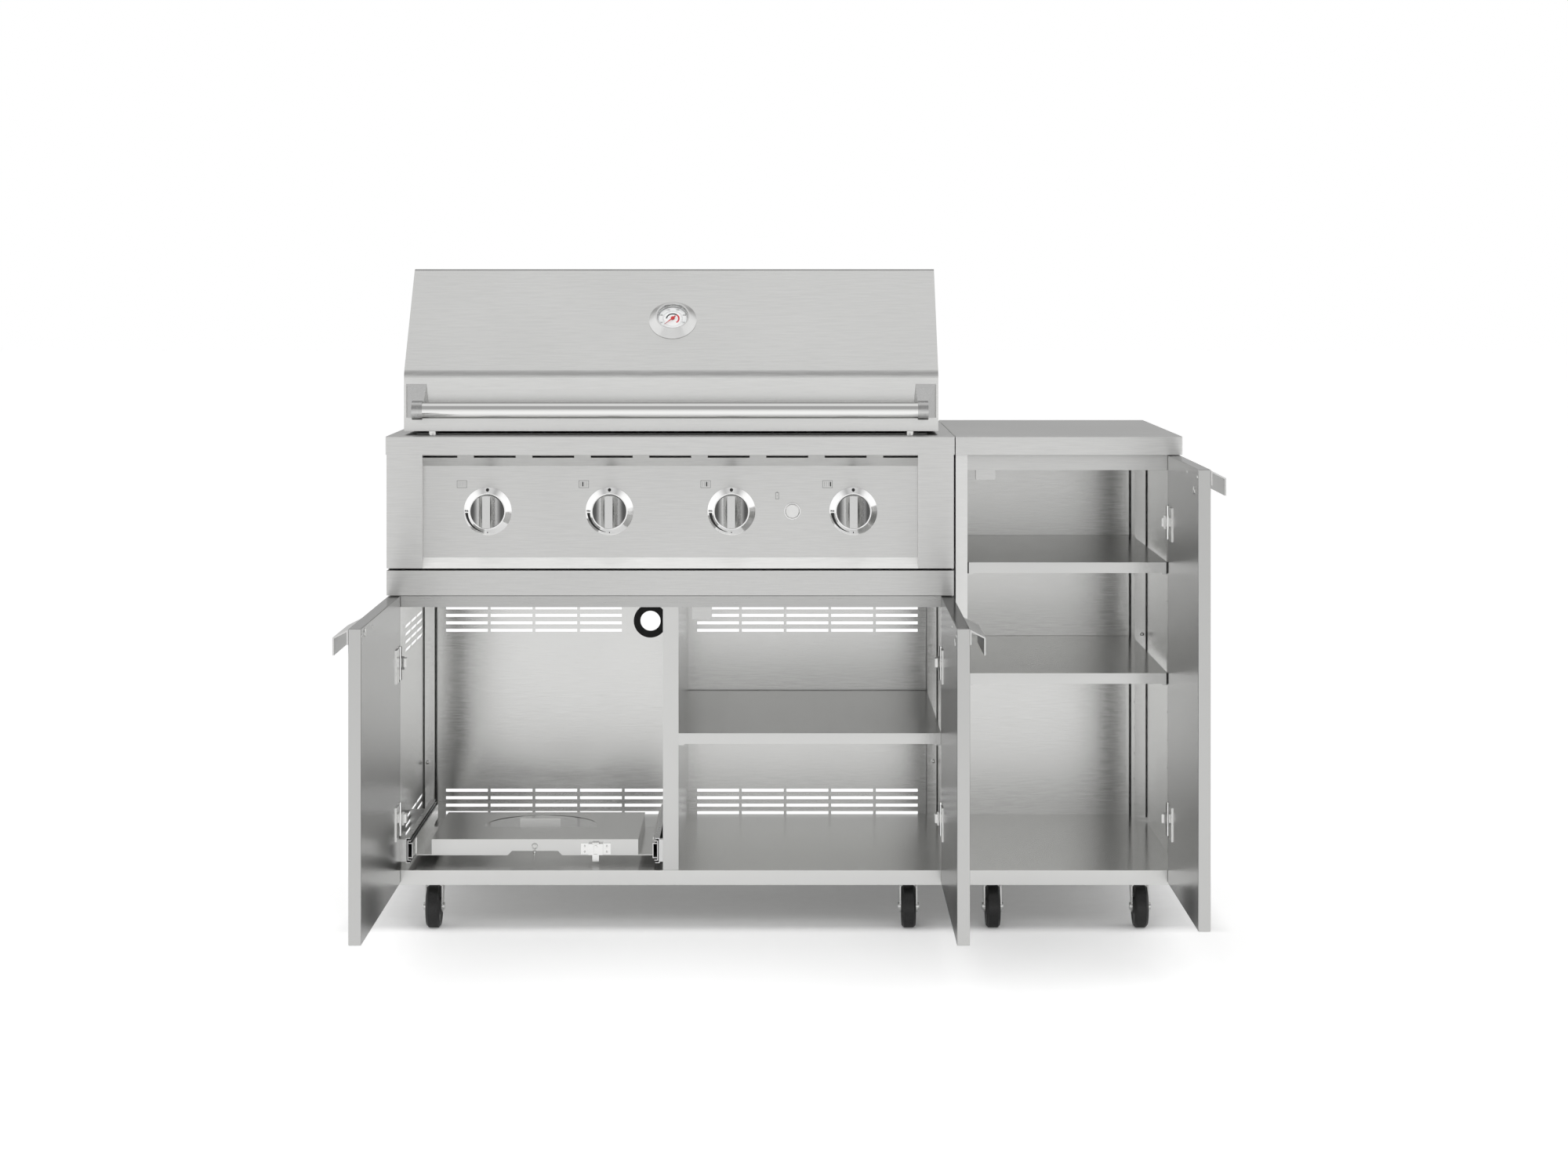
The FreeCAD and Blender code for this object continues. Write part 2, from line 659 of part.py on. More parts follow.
def hose_grommet():
    """Rubber ring with a flange on each side of the back panel."""
    x, z = grommet_centre()
    profile = [
        (GROMMET_BORE_R, -GROMMET_FLANGE),
        (GROMMET_OUTER_R, -GROMMET_FLANGE),
        (GROMMET_OUTER_R, 0),
        (GROMMET_NECK_R, 0),
        (GROMMET_NECK_R, SHEET),
        (GROMMET_OUTER_R, SHEET),
        (GROMMET_OUTER_R, SHEET + GROMMET_FLANGE),
        (GROMMET_BORE_R, SHEET + GROMMET_FLANGE),
    ]
    return revolved(profile, (x, BACK_IN, z), (0, 1, 0))


def main_divider():
    """Upright folded into a flat tube between the two bays of the grill cabinet."""
    front = CAB_FRONT + SHEET
    outer = slab(DIVIDER_X0, DIVIDER_X1, front, BACK_IN, FLOOR_Z, SHIELD_UNDER)
    x0 = DIVIDER_X0 + SHEET
    x1 = DIVIDER_X1 - SHEET
    hollow = slab(x0, x1, front + SHEET, BACK_IN - SHEET, FLOOR_Z, SHIELD_UNDER)
    return outer.cut(hollow)


def heat_shield():
    """Ceiling of the grill cabinet, with the rail over the doors' opening and the grease tray's guides."""
    plate = slab(CAB_X0 + SHEET, CAB_X1 - SHEET, CAB_FRONT, BACK_IN, SHIELD_UNDER, SHIELD_TOP)
    rear_y = BACK_IN - MAIN_REAR_POST_SETBACK
    cutters = []
    for x_out, inward in ((CAB_X0, 1), (CAB_X1, -1)):
        x_in = x_out + inward * POST_WIDTH
        for y in (CAB_FRONT, rear_y):
            cutters.append(slab(x_out, x_in, y, y + POST_LIP, SHIELD_UNDER, SHIELD_TOP))
    plate = plate.cut(cutters)
    x0 = CAB_X0 + POST_WIDTH
    x1 = CAB_X1 - POST_WIDTH
    rail = slab(x0, x1, CAB_FRONT, CAB_FRONT + SHEET, SHIELD_TOP - RAIL_HEIGHT, SHIELD_UNDER)
    guide_top = SHIELD_TOP + GREASE_GUIDE_HEIGHT
    guides = []
    for x, outward in ((GREASE_X0 - SLIP, -1), (GREASE_X1 + SLIP, 1)):
        guides.append(slab(x, x + outward * SHEET, GREASE_FRONT, BACK_IN, SHIELD_TOP, guide_top))
    return group([plate, rail] + guides)


def front_rails():
    """Band under the control panel, and the top rail of the storage cabinet."""
    band = slab(CAB_X0, CAB_X1, 0, CAB_FRONT, BAND_Z, BAND_TOP)
    band = band.cut(slab(CAB_X0, CAB_X1, SHEET, CAB_FRONT, BAND_Z + SHEET, BAND_TOP - SHEET))
    x0 = STORE_X0 + POST_WIDTH
    x1 = STORE_X1 - POST_WIDTH
    top = HEAD_TOP - SIDE_RAIL_DROP
    low = top - SIDE_RAIL_HEIGHT
    back = CAB_FRONT + POST_LIP
    rail = slab(x0, x1, CAB_FRONT, back, low, top)
    rail = rail.cut(slab(x0, x1, CAB_FRONT + SHEET, back, low, top - SHEET))
    return [band, rail]


def door_catches():
    """Magnetic catches: under the storage cabinet's rail, and behind the rail over the two doors."""
    rail_z = HEAD_TOP - SIDE_RAIL_DROP - SIDE_RAIL_HEIGHT
    x = STORE_X0 + POST_WIDTH + CATCH_INSET
    side_catch = slab(x, x + CATCH_WIDTH, CAB_FRONT, CAB_FRONT + CATCH_DEPTH, rail_z - CATCH_HEIGHT, rail_z)
    front = CAB_FRONT + SHEET
    back = front + CATCH_DEPTH
    x = DIVIDER_X1 + MAIN_CATCH_INSET
    right_catch = slab(x, x + CATCH_WIDTH, front, back, SHIELD_UNDER - MAIN_CATCH_DROP, SHIELD_UNDER)
    x = DIVIDER_X0 - CATCH_INSET
    left_catch = slab(x - CATCH_WIDTH, x, front, back, SHIELD_UNDER - CATCH_HEIGHT, SHIELD_UNDER)
    return [side_catch, left_catch, right_catch]


def shelf(x0, x1, back, top, rear_y, rear_notch):
    """Shelf folded down along all sides, narrower by rear_notch (left, right) behind rear_y."""
    front = CAB_FRONT + SHELF_SETBACK
    plan = [(x0, front, 0), (x1, front, 0), (x1, rear_y, 0)]
    if rear_notch[1] > 0:
        plan += [(x1 - rear_notch[1], rear_y, 0)]
    plan += [(x1 - rear_notch[1], back, 0), (x0 + rear_notch[0], back, 0)]
    if rear_notch[0] > 0:
        plan += [(x0 + rear_notch[0], rear_y, 0)]
    plan += [(x0, rear_y, 0)]
    low = top - SHELF_FLANGE
    outer = prism([(a, b, low) for a, b, radius in plan], (0, 0, SHELF_FLANGE))
    hollow = prism([(a, b, low) for a, b, radius in inset(plan, SHEET)], (0, 0, SHELF_FLANGE - SHEET))
    return outer.cut(hollow).removeSplitter()


def shelves():
    """One shelf beside the divider and two in the storage cabinet."""
    main_back = BACK_IN - MAIN_SHELF_BACK_GAP
    side_back = BACK_IN - SIDE_SHELF_BACK_GAP
    notch = SIDE_REAR_POST_WIDTH - POST_WIDTH
    rear_y = BACK_IN - SIDE_REAR_POST_SETBACK
    x0 = STORE_X0 + POST_WIDTH
    x1 = STORE_X1 - POST_WIDTH
    main_rear_y = BACK_IN - MAIN_REAR_POST_SETBACK
    made = [shelf(DIVIDER_X1, CAB_X1 - POST_WIDTH, main_back, MAIN_SHELF_Z, main_rear_y, (0, 0))]
    for top in SIDE_SHELF_Z:
        made.append(shelf(x0, x1, side_back, top, rear_y, (notch, notch)))
    return made


def shelf_clips():
    """Small ledges on the posts and the divider that the shelves lie on."""
    front_y = CAB_FRONT + SHELF_SETBACK + CLIP_INSET
    side_rear_y = BACK_IN - SIDE_REAR_POST_SETBACK + CLIP_INSET
    main_rear_y = BACK_IN - MAIN_REAR_POST_SETBACK + CLIP_INSET
    places = []
    for x, inward in ((DIVIDER_X1, 1), (CAB_X1 - POST_WIDTH, -1)):
        for y in (front_y, main_rear_y):
            places.append((x, inward, y, MAIN_SHELF_Z))
    for top in SIDE_SHELF_Z:
        for x_out, inward in ((STORE_X0, 1), (STORE_X1, -1)):
            places.append((x_out + inward * POST_WIDTH, inward, front_y, top))
            places.append((x_out + inward * SIDE_REAR_POST_WIDTH, inward, side_rear_y, top))
    clips = []
    for x, inward, y, top in places:
        z = top - SHELF_FLANGE
        clips.append(slab(x, x + inward * CLIP_WIDTH, y, y + CLIP_WIDTH, z - CLIP_THICK, z))
    return clips


# Worktops

def worktop(x0, x1):
    """Sheet folded down on all sides, with rounded outer edges."""
    block = slab(x0, x1, 0, TOP_DEPTH, HEAD_TOP, TOP_HEIGHT)
    edges = [e for e in block.Edges if e.BoundBox.ZMax > HEAD_TOP + TOP_SHEET]
    block = block.makeFillet(TOP_EDGE_R, edges)
    hollow = slab(x0 + TOP_SHEET, x1 - TOP_SHEET, TOP_SHEET, TOP_DEPTH - TOP_SHEET, HEAD_TOP, TOP_UNDER)
    return block.cut(hollow)


def grill_deck():
    """Worktop frame round the firebox, joined from a front, a rear and two side strips."""
    x0 = BOX_X0 - BOX_CLEAR
    x1 = BOX_X1 + BOX_CLEAR
    y0 = BOX_FRONT - BOX_CLEAR
    y1 = BOX_BACK + BOX_CLEAR
    sheet = worktop(MAIN_X0, MAIN_X1)
    strips = [
        (MAIN_X0, MAIN_X1, 0, y0),
        (MAIN_X0, MAIN_X1, y1, TOP_DEPTH),
        (MAIN_X0, x0, y0, y1),
        (x1, MAIN_X1, y0, y1),
    ]
    return group([sheet.common(slab(*strip, HEAD_TOP, TOP_HEIGHT)) for strip in strips])


def side_worktop():
    """Worktop of the storage cabinet."""
    return worktop(SIDE_X0, SIDE_X1)


# Grill head

def grill_casing():
    """Side walls, vented back wall and front posts of the grill head."""
    outline = [
        (CAB_FRONT, BAND_TOP),
        (CAB_FRONT, HEAD_Z),
        (0, HEAD_Z),
        (0, HEAD_TOP),
        (TOP_SHEET, HEAD_TOP),
        (TOP_SHEET, TOP_UNDER),
        (BACK_OUT, TOP_UNDER),
        (BACK_OUT, BAND_TOP),
    ]
    shapes = []
    for x_out, inward in ((CAB_X0, 1), (CAB_X1, -1)):
        x_in = x_out + inward * HEAD_POST_WIDTH
        shapes.append(prism([(x_out, y, z) for y, z in outline], (inward * SHEET, 0, 0)))
        shapes.append(slab(x_out, x_in, 0, SHEET, HEAD_Z, HEAD_TOP))
        shapes.append(slab(x_in, x_in - inward * SHEET, 0, PANEL_BACK, HEAD_Z, HEAD_TOP))
    back = slab(CAB_X0, CAB_X1, BACK_IN, BACK_OUT, BAND_TOP, TOP_UNDER)
    start = CAB_X0 + HEAD_VENT_INSET
    end = CAB_X1 - HEAD_VENT_INSET
    depth = (BACK_IN - SHEET, BACK_OUT + SHEET)
    shapes.append(back.cut(vents(start, end, TOP_UNDER - HEAD_VENT_DROP, depth, "X", HEAD_VENT_ROWS)))
    return joined(shapes)


def control_panel():
    """Recessed panel with a sloping lower and upper edge, air slots and holes for stems and button."""
    front = [
        (0, HEAD_Z),
        (PANEL_RECESS, HEAD_Z + PANEL_RECESS),
        (PANEL_RECESS, HEAD_TOP - PANEL_TOP_BEVEL),
        (0, HEAD_TOP),
    ]
    back = [(y + SHEET, z) for y, z in reversed(front)]
    panel = prism([(PANEL_X0, y, z) for y, z in front + back], (PANEL_X1 - PANEL_X0, 0, 0))
    span = (PANEL_SLOTS - 1) * PANEL_SLOT_PITCH + PANEL_SLOT_LENGTH
    first = (MAIN_CX - span / 2, HEAD_TOP - PANEL_SLOT_DROP - PANEL_SLOT_HEIGHT)
    size = (PANEL_SLOT_LENGTH, PANEL_SLOT_HEIGHT)
    cutters = slots(PANEL_SLOTS, 1, size, (PANEL_SLOT_PITCH, 0), first, (-SHEET, PANEL_RECESS), "X")
    for x in KNOB_XS:
        cutters.append(rod((x, 0, KNOB_Z), (x, CAB_FRONT, KNOB_Z), STEM_HOLE_R))
    bore = IGNITER_R + SLIP
    cutters.append(rod((IGNITER_X, 0, KNOB_Z), (IGNITER_X, CAB_FRONT, KNOB_Z), bore))
    return panel.cut(cutters)


def panel_bezels():
    """Conical ring round each knob, a thin ring and a guide cup for the igniter button."""
    ring = [
        (BEZEL_BORE_R, 0),
        (BEZEL_R, 0),
        (BEZEL_R, SHEET),
        (BEZEL_TOP_R, BEZEL_HEIGHT),
        (BEZEL_BORE_R, BEZEL_HEIGHT),
    ]
    made = [revolved(ring, (x, PANEL_RECESS, KNOB_Z), (0, -1, 0)) for x in KNOB_XS]
    bore = IGNITER_R + SLIP
    collar = [(bore, 0), (IGNITER_RING_R, 0), (IGNITER_RING_R, IGNITER_PROUD), (bore, IGNITER_PROUD)]
    made.append(revolved(collar, (IGNITER_X, PANEL_RECESS, KNOB_Z), (0, -1, 0)))
    guide = IGNITER_R + RUN_GAP
    cup = [
        (guide, 0),
        (IGNITER_CASE_R, 0),
        (IGNITER_CASE_R, IGNITER_CASE_LENGTH),
        (0, IGNITER_CASE_LENGTH),
        (0, IGNITER_CASE_LENGTH - SHEET),
        (guide, IGNITER_CASE_LENGTH - SHEET),
    ]
    made.append(revolved(cup, (IGNITER_X, PANEL_BACK, KNOB_Z), (0, 1, 0)))
    return group(made)


def knob(x):
    """Round knob with a scoop on each side of its grip bar, and the valve stem that turns with it."""
    base = PANEL_RECESS - KNOB_BASE_GAP
    height = KNOB_DISC + KNOB_BAR_HEIGHT
    rim = height - KNOB_CHAMFER
    profile = [(0, 0), (KNOB_R, 0), (KNOB_R, rim), (KNOB_R - KNOB_CHAMFER, height), (0, height)]
    body = revolved(profile, (x, base, KNOB_Z), (0, -1, 0))
    scoop_r = KNOB_R - KNOB_BAR_WIDTH / 2
    scoop_y = base - KNOB_DISC - scoop_r
    scoops = []
    for side in (-1, 1):
        scoop_x = x + side * KNOB_R
        scoops.append(rod((scoop_x, scoop_y, KNOB_Z - KNOB_R), (scoop_x, scoop_y, KNOB_Z + KNOB_R), scoop_r))
    stem = rod((x, base, KNOB_Z), (x, base + STEM_DEPTH, KNOB_Z), STEM_R)
    return joined([body.cut(scoops), stem])


def igniter_button():
    """Push button with a bevelled rim, free to move into its cup."""
    front = IGNITER_LENGTH
    back = PANEL_RECESS - IGNITER_PROUD - SHEET + front
    profile = [(0, 0), (IGNITER_R, 0), (IGNITER_R, front - SHEET), (IGNITER_R - SHEET, front), (0, front)]
    return revolved(profile, (IGNITER_X, back, KNOB_Z), (0, -1, 0))


def gas_manifold():
    """Pipe behind the panel with a valve for each knob, a riser and an orifice for each burner."""
    x0 = KNOB_XS[0] - MANIFOLD_END
    x1 = KNOB_XS[-1] + MANIFOLD_END
    shapes = [rod((x0, MANIFOLD_Y, KNOB_Z), (x1, MANIFOLD_Y, KNOB_Z), MANIFOLD_R)]
    valve_front = PANEL_BACK + VALVE_FRONT_GAP
    orifice_y = MANIFOLD_Y + ORIFICE_REACH
    bores = []
    for x in KNOB_XS:
        shapes.append(rod((x, valve_front, KNOB_Z), (x, MANIFOLD_Y, KNOB_Z), VALVE_R))
        shapes.append(rod((x, MANIFOLD_Y, KNOB_Z), (x, MANIFOLD_Y, BURNER_Z), RISER_R))
        shapes.append(rod((x, MANIFOLD_Y - RISER_R, BURNER_Z), (x, orifice_y, BURNER_Z), RISER_R))
        stem_end = PANEL_RECESS - KNOB_BASE_GAP + STEM_DEPTH + SLIP
        bores.append(rod((x, valve_front, KNOB_Z), (x, stem_end, KNOB_Z), STEM_R + RUN_GAP))
    half = MANIFOLD_BRACKET / 2
    for x in (x0 + MANIFOLD_END / 2, x1 - MANIFOLD_END / 2):
        shapes.append(slab(x - half, x + half, PANEL_BACK, MANIFOLD_Y, KNOB_Z - half, KNOB_Z + half))
    x = x0 + MANIFOLD_R
    shapes.append(rod((x, MANIFOLD_Y, KNOB_Z), (x, MANIFOLD_Y, KNOB_Z - INLET_DROP), MANIFOLD_R - SHEET))
    return joined(shapes).cut(bores)


# Firebox

def firebox_walls():
    """Walls of the tub with its lip on the deck, and a hole for each burner in the front one."""
    t = BOX_SHEET
    low = BOX_WALL_Z
    high = TOP_HEIGHT + BOX_LIP_THICK
    walls = []
    for x, inward in ((BOX_X0, 1), (BOX_X1, -1)):
        web = slab(x, x + inward * t, BOX_FRONT + t, BOX_BACK - t, low, high)
        lip = slab(x, x - inward * BOX_LIP, BOX_FRONT + t, BOX_BACK - t, TOP_HEIGHT, high)
        walls.append(joined([web, lip]))
    for y, inward in ((BOX_FRONT, 1), (BOX_BACK, -1)):
        web = slab(BOX_X0, BOX_X1, y, y + inward * t, low, high)
        lip = slab(BOX_X0 - BOX_LIP, BOX_X1 + BOX_LIP, y + inward * t, y - inward * BOX_LIP, TOP_HEIGHT, high)
        walls.append(joined([web, lip]))
    bore = BURNER_R + BOX_CLEAR
    holes = [rod((x, BOX_FRONT, BURNER_Z), (x, BOX_FRONT + t, BURNER_Z), bore) for x in KNOB_XS]
    return [wall.cut(holes) for wall in walls]


def firebox_ledges():
    """Strips on the front and rear wall that carry the grates, the heat plates and the burners' ends."""
    x0 = BOX_X0 + BOX_SHEET
    x1 = BOX_X1 - BOX_SHEET
    front = BOX_FRONT + BOX_SHEET
    back = BOX_BACK - BOX_SHEET
    plate_z = TOP_HEIGHT - PLATE_LEDGE_DROP
    ledges = []
    for z in (GRATE_Z, plate_z):
        ledges.append(slab(x0, x1, front, front + LEDGE_WIDTH, z - BOX_SHEET, z))
    for z in (GRATE_Z, plate_z, BURNER_Z - BOX_SHEET / 2):
        ledges.append(slab(x0, x1, back, back - LEDGE_WIDTH, z - BOX_SHEET, z))
    return ledges


def firebox_floor():
    """Four sloping sheets from the walls down to the drain, mitred at the corners."""
    y_mid = (BOX_FRONT + BOX_BACK) / 2

    def corners(margin, at_drain):
        """Corners of the tub, or of its drain, moved inwards by margin."""
        x0, x1, y0, y1, z = BOX_X0, BOX_X1, BOX_FRONT, BOX_BACK, BOX_WALL_Z
        if at_drain:
            x0 = MAIN_CX - DRAIN_LENGTH / 2
            x1 = MAIN_CX + DRAIN_LENGTH / 2
            y0 = y_mid - DRAIN_WIDTH / 2
            y1 = y_mid + DRAIN_WIDTH / 2
            z = HOPPER_Z
        x0, x1, y0, y1 = x0 + margin, x1 - margin, y0 + margin, y1 - margin
        return [(x0, y0, z), (x1, y0, z), (x1, y1, z), (x0, y1, z)]

    rims = [(corners(0, drain), corners(BOX_SHEET, drain)) for drain in (False, True)]
    sheets = []
    for i in range(len(rims[0][0])):
        upper, lower = [(outer[i - 1], outer[i], inner[i], inner[i - 1]) for outer, inner in rims]
        sheets.append(six_faced(lower, upper))
    return sheets


def firebox():
    """Welded tub that hangs in the deck, with a sloping floor and ledges for what lies in it."""
    return group(firebox_walls() + firebox_ledges() + firebox_floor())


def burners():
    """Tube burners through the firebox's front wall: flange inside it, tongue on the rear ledge."""
    made = []
    inside = BOX_FRONT + BOX_SHEET
    start = BOX_FRONT - BURNER_FRONT_REACH
    end = BOX_BACK - BURNER_REAR_GAP
    half = BURNER_FLANGE / 2
    for x in KNOB_XS:
        tube = rod((x, start, BURNER_Z), (x, end, BURNER_Z), BURNER_R)
        flange = slab(x - half, x + half, inside, inside + BOX_SHEET, BURNER_Z - half, BURNER_Z + half)
        tongue_half = BURNER_TONGUE_WIDTH / 2
        thick = BOX_SHEET / 2
        tongue = slab(x - tongue_half, x + tongue_half, end - BURNER_WALL, end + BURNER_TONGUE_REACH,
                      BURNER_Z - thick, BURNER_Z + thick)
        bore = rod((x, start, BURNER_Z), (x, end - BURNER_WALL, BURNER_Z), BURNER_R - BURNER_WALL)
        made.append(joined([tube, flange, tongue]).cut(bore))
    return group(made)


def heat_plates():
    """Roof-shaped plates over the burners, lying on the middle ledges."""
    z = TOP_HEIGHT - PLATE_LEDGE_DROP
    half = HEAT_PLATE_WIDTH / 2
    low = half - SHEET * half / HEAT_PLATE_RISE
    y0 = BOX_FRONT + BOX_SHEET + BOX_CLEAR
    y1 = BOX_BACK - BOX_SHEET - BOX_CLEAR
    made = []
    for x in KNOB_XS:
        outline = [
            (x - half, y0, z),
            (x - low, y0, z),
            (x, y0, z + HEAT_PLATE_RISE - SHEET),
            (x + low, y0, z),
            (x + half, y0, z),
            (x, y0, z + HEAT_PLATE_RISE),
        ]
        made.append(prism(outline, (0, y1 - y0, 0)))
    return group(made)


def cooking_grates():
    """Cast grates side by side: bars from front to back between two end bars."""
    inner_x0 = BOX_X0 + BOX_SHEET + BOX_CLEAR
    inner_x1 = BOX_X1 - BOX_SHEET - BOX_CLEAR
    y0 = BOX_FRONT + BOX_SHEET + BOX_CLEAR
    y1 = BOX_BACK - BOX_SHEET - BOX_CLEAR
    width = (inner_x1 - inner_x0 - (GRATE_COUNT - 1) * GRATE_GAP) / GRATE_COUNT
    top = GRATE_Z + GRATE_HEIGHT
    made = []
    for i in range(GRATE_COUNT):
        x0 = inner_x0 + i * (width + GRATE_GAP)
        plate = slab(x0, x0 + width, y0, y1, GRATE_Z, top)
        pitch = (width - GRATE_BAR) / (GRATE_BARS - 1)
        gaps = []
        for bar in range(GRATE_BARS - 1):
            left = x0 + bar * pitch + GRATE_BAR
            right = x0 + (bar + 1) * pitch
            gaps.append(slab(left, right, y0 + GRATE_END_BAR, y1 - GRATE_END_BAR, GRATE_Z, top))
        made.append(plate.cut(gaps))
    return group(made)


def warming_rack():
    """Wire rack over the rear of the grates, with legs on the firebox's lip."""
    foot = TOP_HEIGHT + BOX_LIP_THICK
    x0 = BOX_X0 - RACK_END_INSET
    x1 = BOX_X1 + RACK_END_INSET
    y0 = RACK_Y0
    y1 = RACK_Y1
    shapes = []
    for x in (x0, x1):
        shapes.append(rod((x, y0, RACK_Z), (x, y1, RACK_Z), RACK_RAIL_R))
        for y in (y0, y1):
            shapes.append(rod((x, y, foot), (x, y, RACK_Z + 2 * RACK_LEG_R), RACK_LEG_R))
    pitch = (y1 - y0) / (RACK_RODS - 1)
    for i in range(RACK_RODS):
        y = y0 + i * pitch
        shapes.append(rod((x0, y, RACK_Z), (x1, y, RACK_Z), RACK_ROD_R))
    return joined(shapes)


def grease_tray():
    """Drawer under the drain. Its end plate closes the back panel and has a finger notch."""
    z0 = SHIELD_TOP + SLIP
    z1 = z0 + GREASE_HEIGHT
    x0 = GREASE_X0
    x1 = GREASE_X1
    end = BACK_OUT + SLIP
    pan = slab(x0, x1, GREASE_FRONT, end, z0, z1)
    pan = pan.cut(slab(x0 + SHEET, x1 - SHEET, GREASE_FRONT + SHEET, end - SHEET, z0 + SHEET, z1))
    margin = GREASE_PLATE_MARGIN
    plate = slab(x0 - margin, x1 + margin, end, end + SHEET, z0, z0 + GREASE_PLATE_HEIGHT)
    half = GREASE_NOTCH_WIDTH / 2
    notch_z = z0 + GREASE_PLATE_HEIGHT - GREASE_NOTCH_HEIGHT
    notch = slab(MAIN_CX - half, MAIN_CX + half, end, end + SHEET, notch_z, z0 + GREASE_PLATE_HEIGHT)
    return joined([pan, plate.cut(notch)])


# Hood

def hood_outline():
    """Side view of the hood as (y, z, bend radius) corners, counter-clockwise."""
    z0 = HOOD_Z
    z1 = HOOD_Z + HOOD_HEIGHT
    y0 = HOOD_SETBACK
    return [
        (y0, z0, 0),
        (HOOD_BACK, z0, 0),
        (HOOD_BACK, z0 + HOOD_REAR_HEIGHT, HOOD_REAR_BEND_R),
        (HOOD_BACK - HOOD_REAR_RUN, z1, HOOD_REAR_BEND_R),
        (y0 + HOOD_SLOPE_RUN, z1, HOOD_TOP_BEND_R),
        (y0, z0 + HOOD_FRONT_HEIGHT, HOOD_FRONT_BEND_R),
    ]


def hood_shell():
    """Folded sheet, open below, with a hole for the thermometer's probe, and an end plate on each side."""
    corners = hood_outline()
    hollow = inset(corners, HOOD_SHEET)
    hollow[0] = (hollow[0][0], HOOD_Z - HOOD_SHEET, 0)
    hollow[1] = (hollow[1][0], HOOD_Z - HOOD_SHEET, 0)
    length = V(HOOD_X1 - HOOD_X0 - 2 * HOOD_SHEET, 0, 0)
    outer = rounded_face(corners, HOOD_X0 + HOOD_SHEET).extrude(length)
    space = rounded_face(hollow, HOOD_X0 + HOOD_SHEET).extrude(length)
    probe_end = DIAL_CENTRE - DIAL_NORMAL * (2 * HOOD_SHEET)
    hole = rod(tuple(DIAL_CENTRE + DIAL_NORMAL * HOOD_SHEET), tuple(probe_end), PROBE_HOLE_R)
    return group([outer.cut([space, hole]), hood_end(HOOD_X0, 1), hood_end(HOOD_X1, -1)])


def hood_end(x_end, inward):
    """End plate of the hood with the boss that turns on the hinge pin."""
    plate = rounded_face(hood_outline(), x_end).extrude(V(inward * HOOD_SHEET, 0, 0))
    start = (x_end + inward * HOOD_SHEET, HOOD_PIVOT_Y, HOOD_PIVOT_Z)
    end = (x_end + inward * (HOOD_SHEET + HOOD_BOSS_THICK), HOOD_PIVOT_Y, HOOD_PIVOT_Z)
    bore = rod((x_end, HOOD_PIVOT_Y, HOOD_PIVOT_Z), end, HOOD_PIN_R + RUN_GAP)
    return joined([plate, rod(start, end, HOOD_BOSS_R)]).cut(bore)


def hood_hinge_brackets():
    """Ears on the deck beside the hood's ends, each with its pin."""
    made = []
    for x_end, outward in ((HOOD_X0, -1), (HOOD_X1, 1)):
        x0 = x_end + outward * HOOD_EAR_GAP
        x1 = x0 + outward * HOOD_EAR_THICK
        y0 = HOOD_PIVOT_Y - HOOD_EAR_R
        y1 = HOOD_PIVOT_Y + HOOD_EAR_R
        ear = slab(x0, x1, y0, y1, TOP_HEIGHT, HOOD_PIVOT_Z)
        head = rod((x0, HOOD_PIVOT_Y, HOOD_PIVOT_Z), (x1, HOOD_PIVOT_Y, HOOD_PIVOT_Z), HOOD_EAR_R)
        foot = slab(x0, x0 + outward * HOOD_FOOT, y0, y1, TOP_HEIGHT, TOP_HEIGHT + HOOD_EAR_THICK)
        reach = x_end - outward * (HOOD_SHEET + HOOD_BOSS_THICK)
        pin = rod((x1, HOOD_PIVOT_Y, HOOD_PIVOT_Z), (reach, HOOD_PIVOT_Y, HOOD_PIVOT_Z), HOOD_PIN_R)
        made.append(joined([ear, head, foot, pin]))
    return made


def hood_stops():
    """Feet on the deck that the closed hood's front edge comes down on."""
    y = HOOD_SETBACK + HOOD_STOP_R
    made = []
    for x in (HOOD_X0 + HOOD_STOP_INSET, HOOD_X1 - HOOD_STOP_INSET):
        made.append(rod((x, y, TOP_HEIGHT), (x, y, HOOD_Z - SLIP), HOOD_STOP_R))
    return made


def hood_handle_tube():
    """Tube between the two brackets."""
    start = (HANDLE_X0 + COLLAR_LENGTH, HANDLE_Y, HANDLE_Z)
    end = (HANDLE_X1 - COLLAR_LENGTH, HANDLE_Y, HANDLE_Z)
    return rod(start, end, HANDLE_R).cut(rod(start, end, HANDLE_R - HANDLE_WALL))


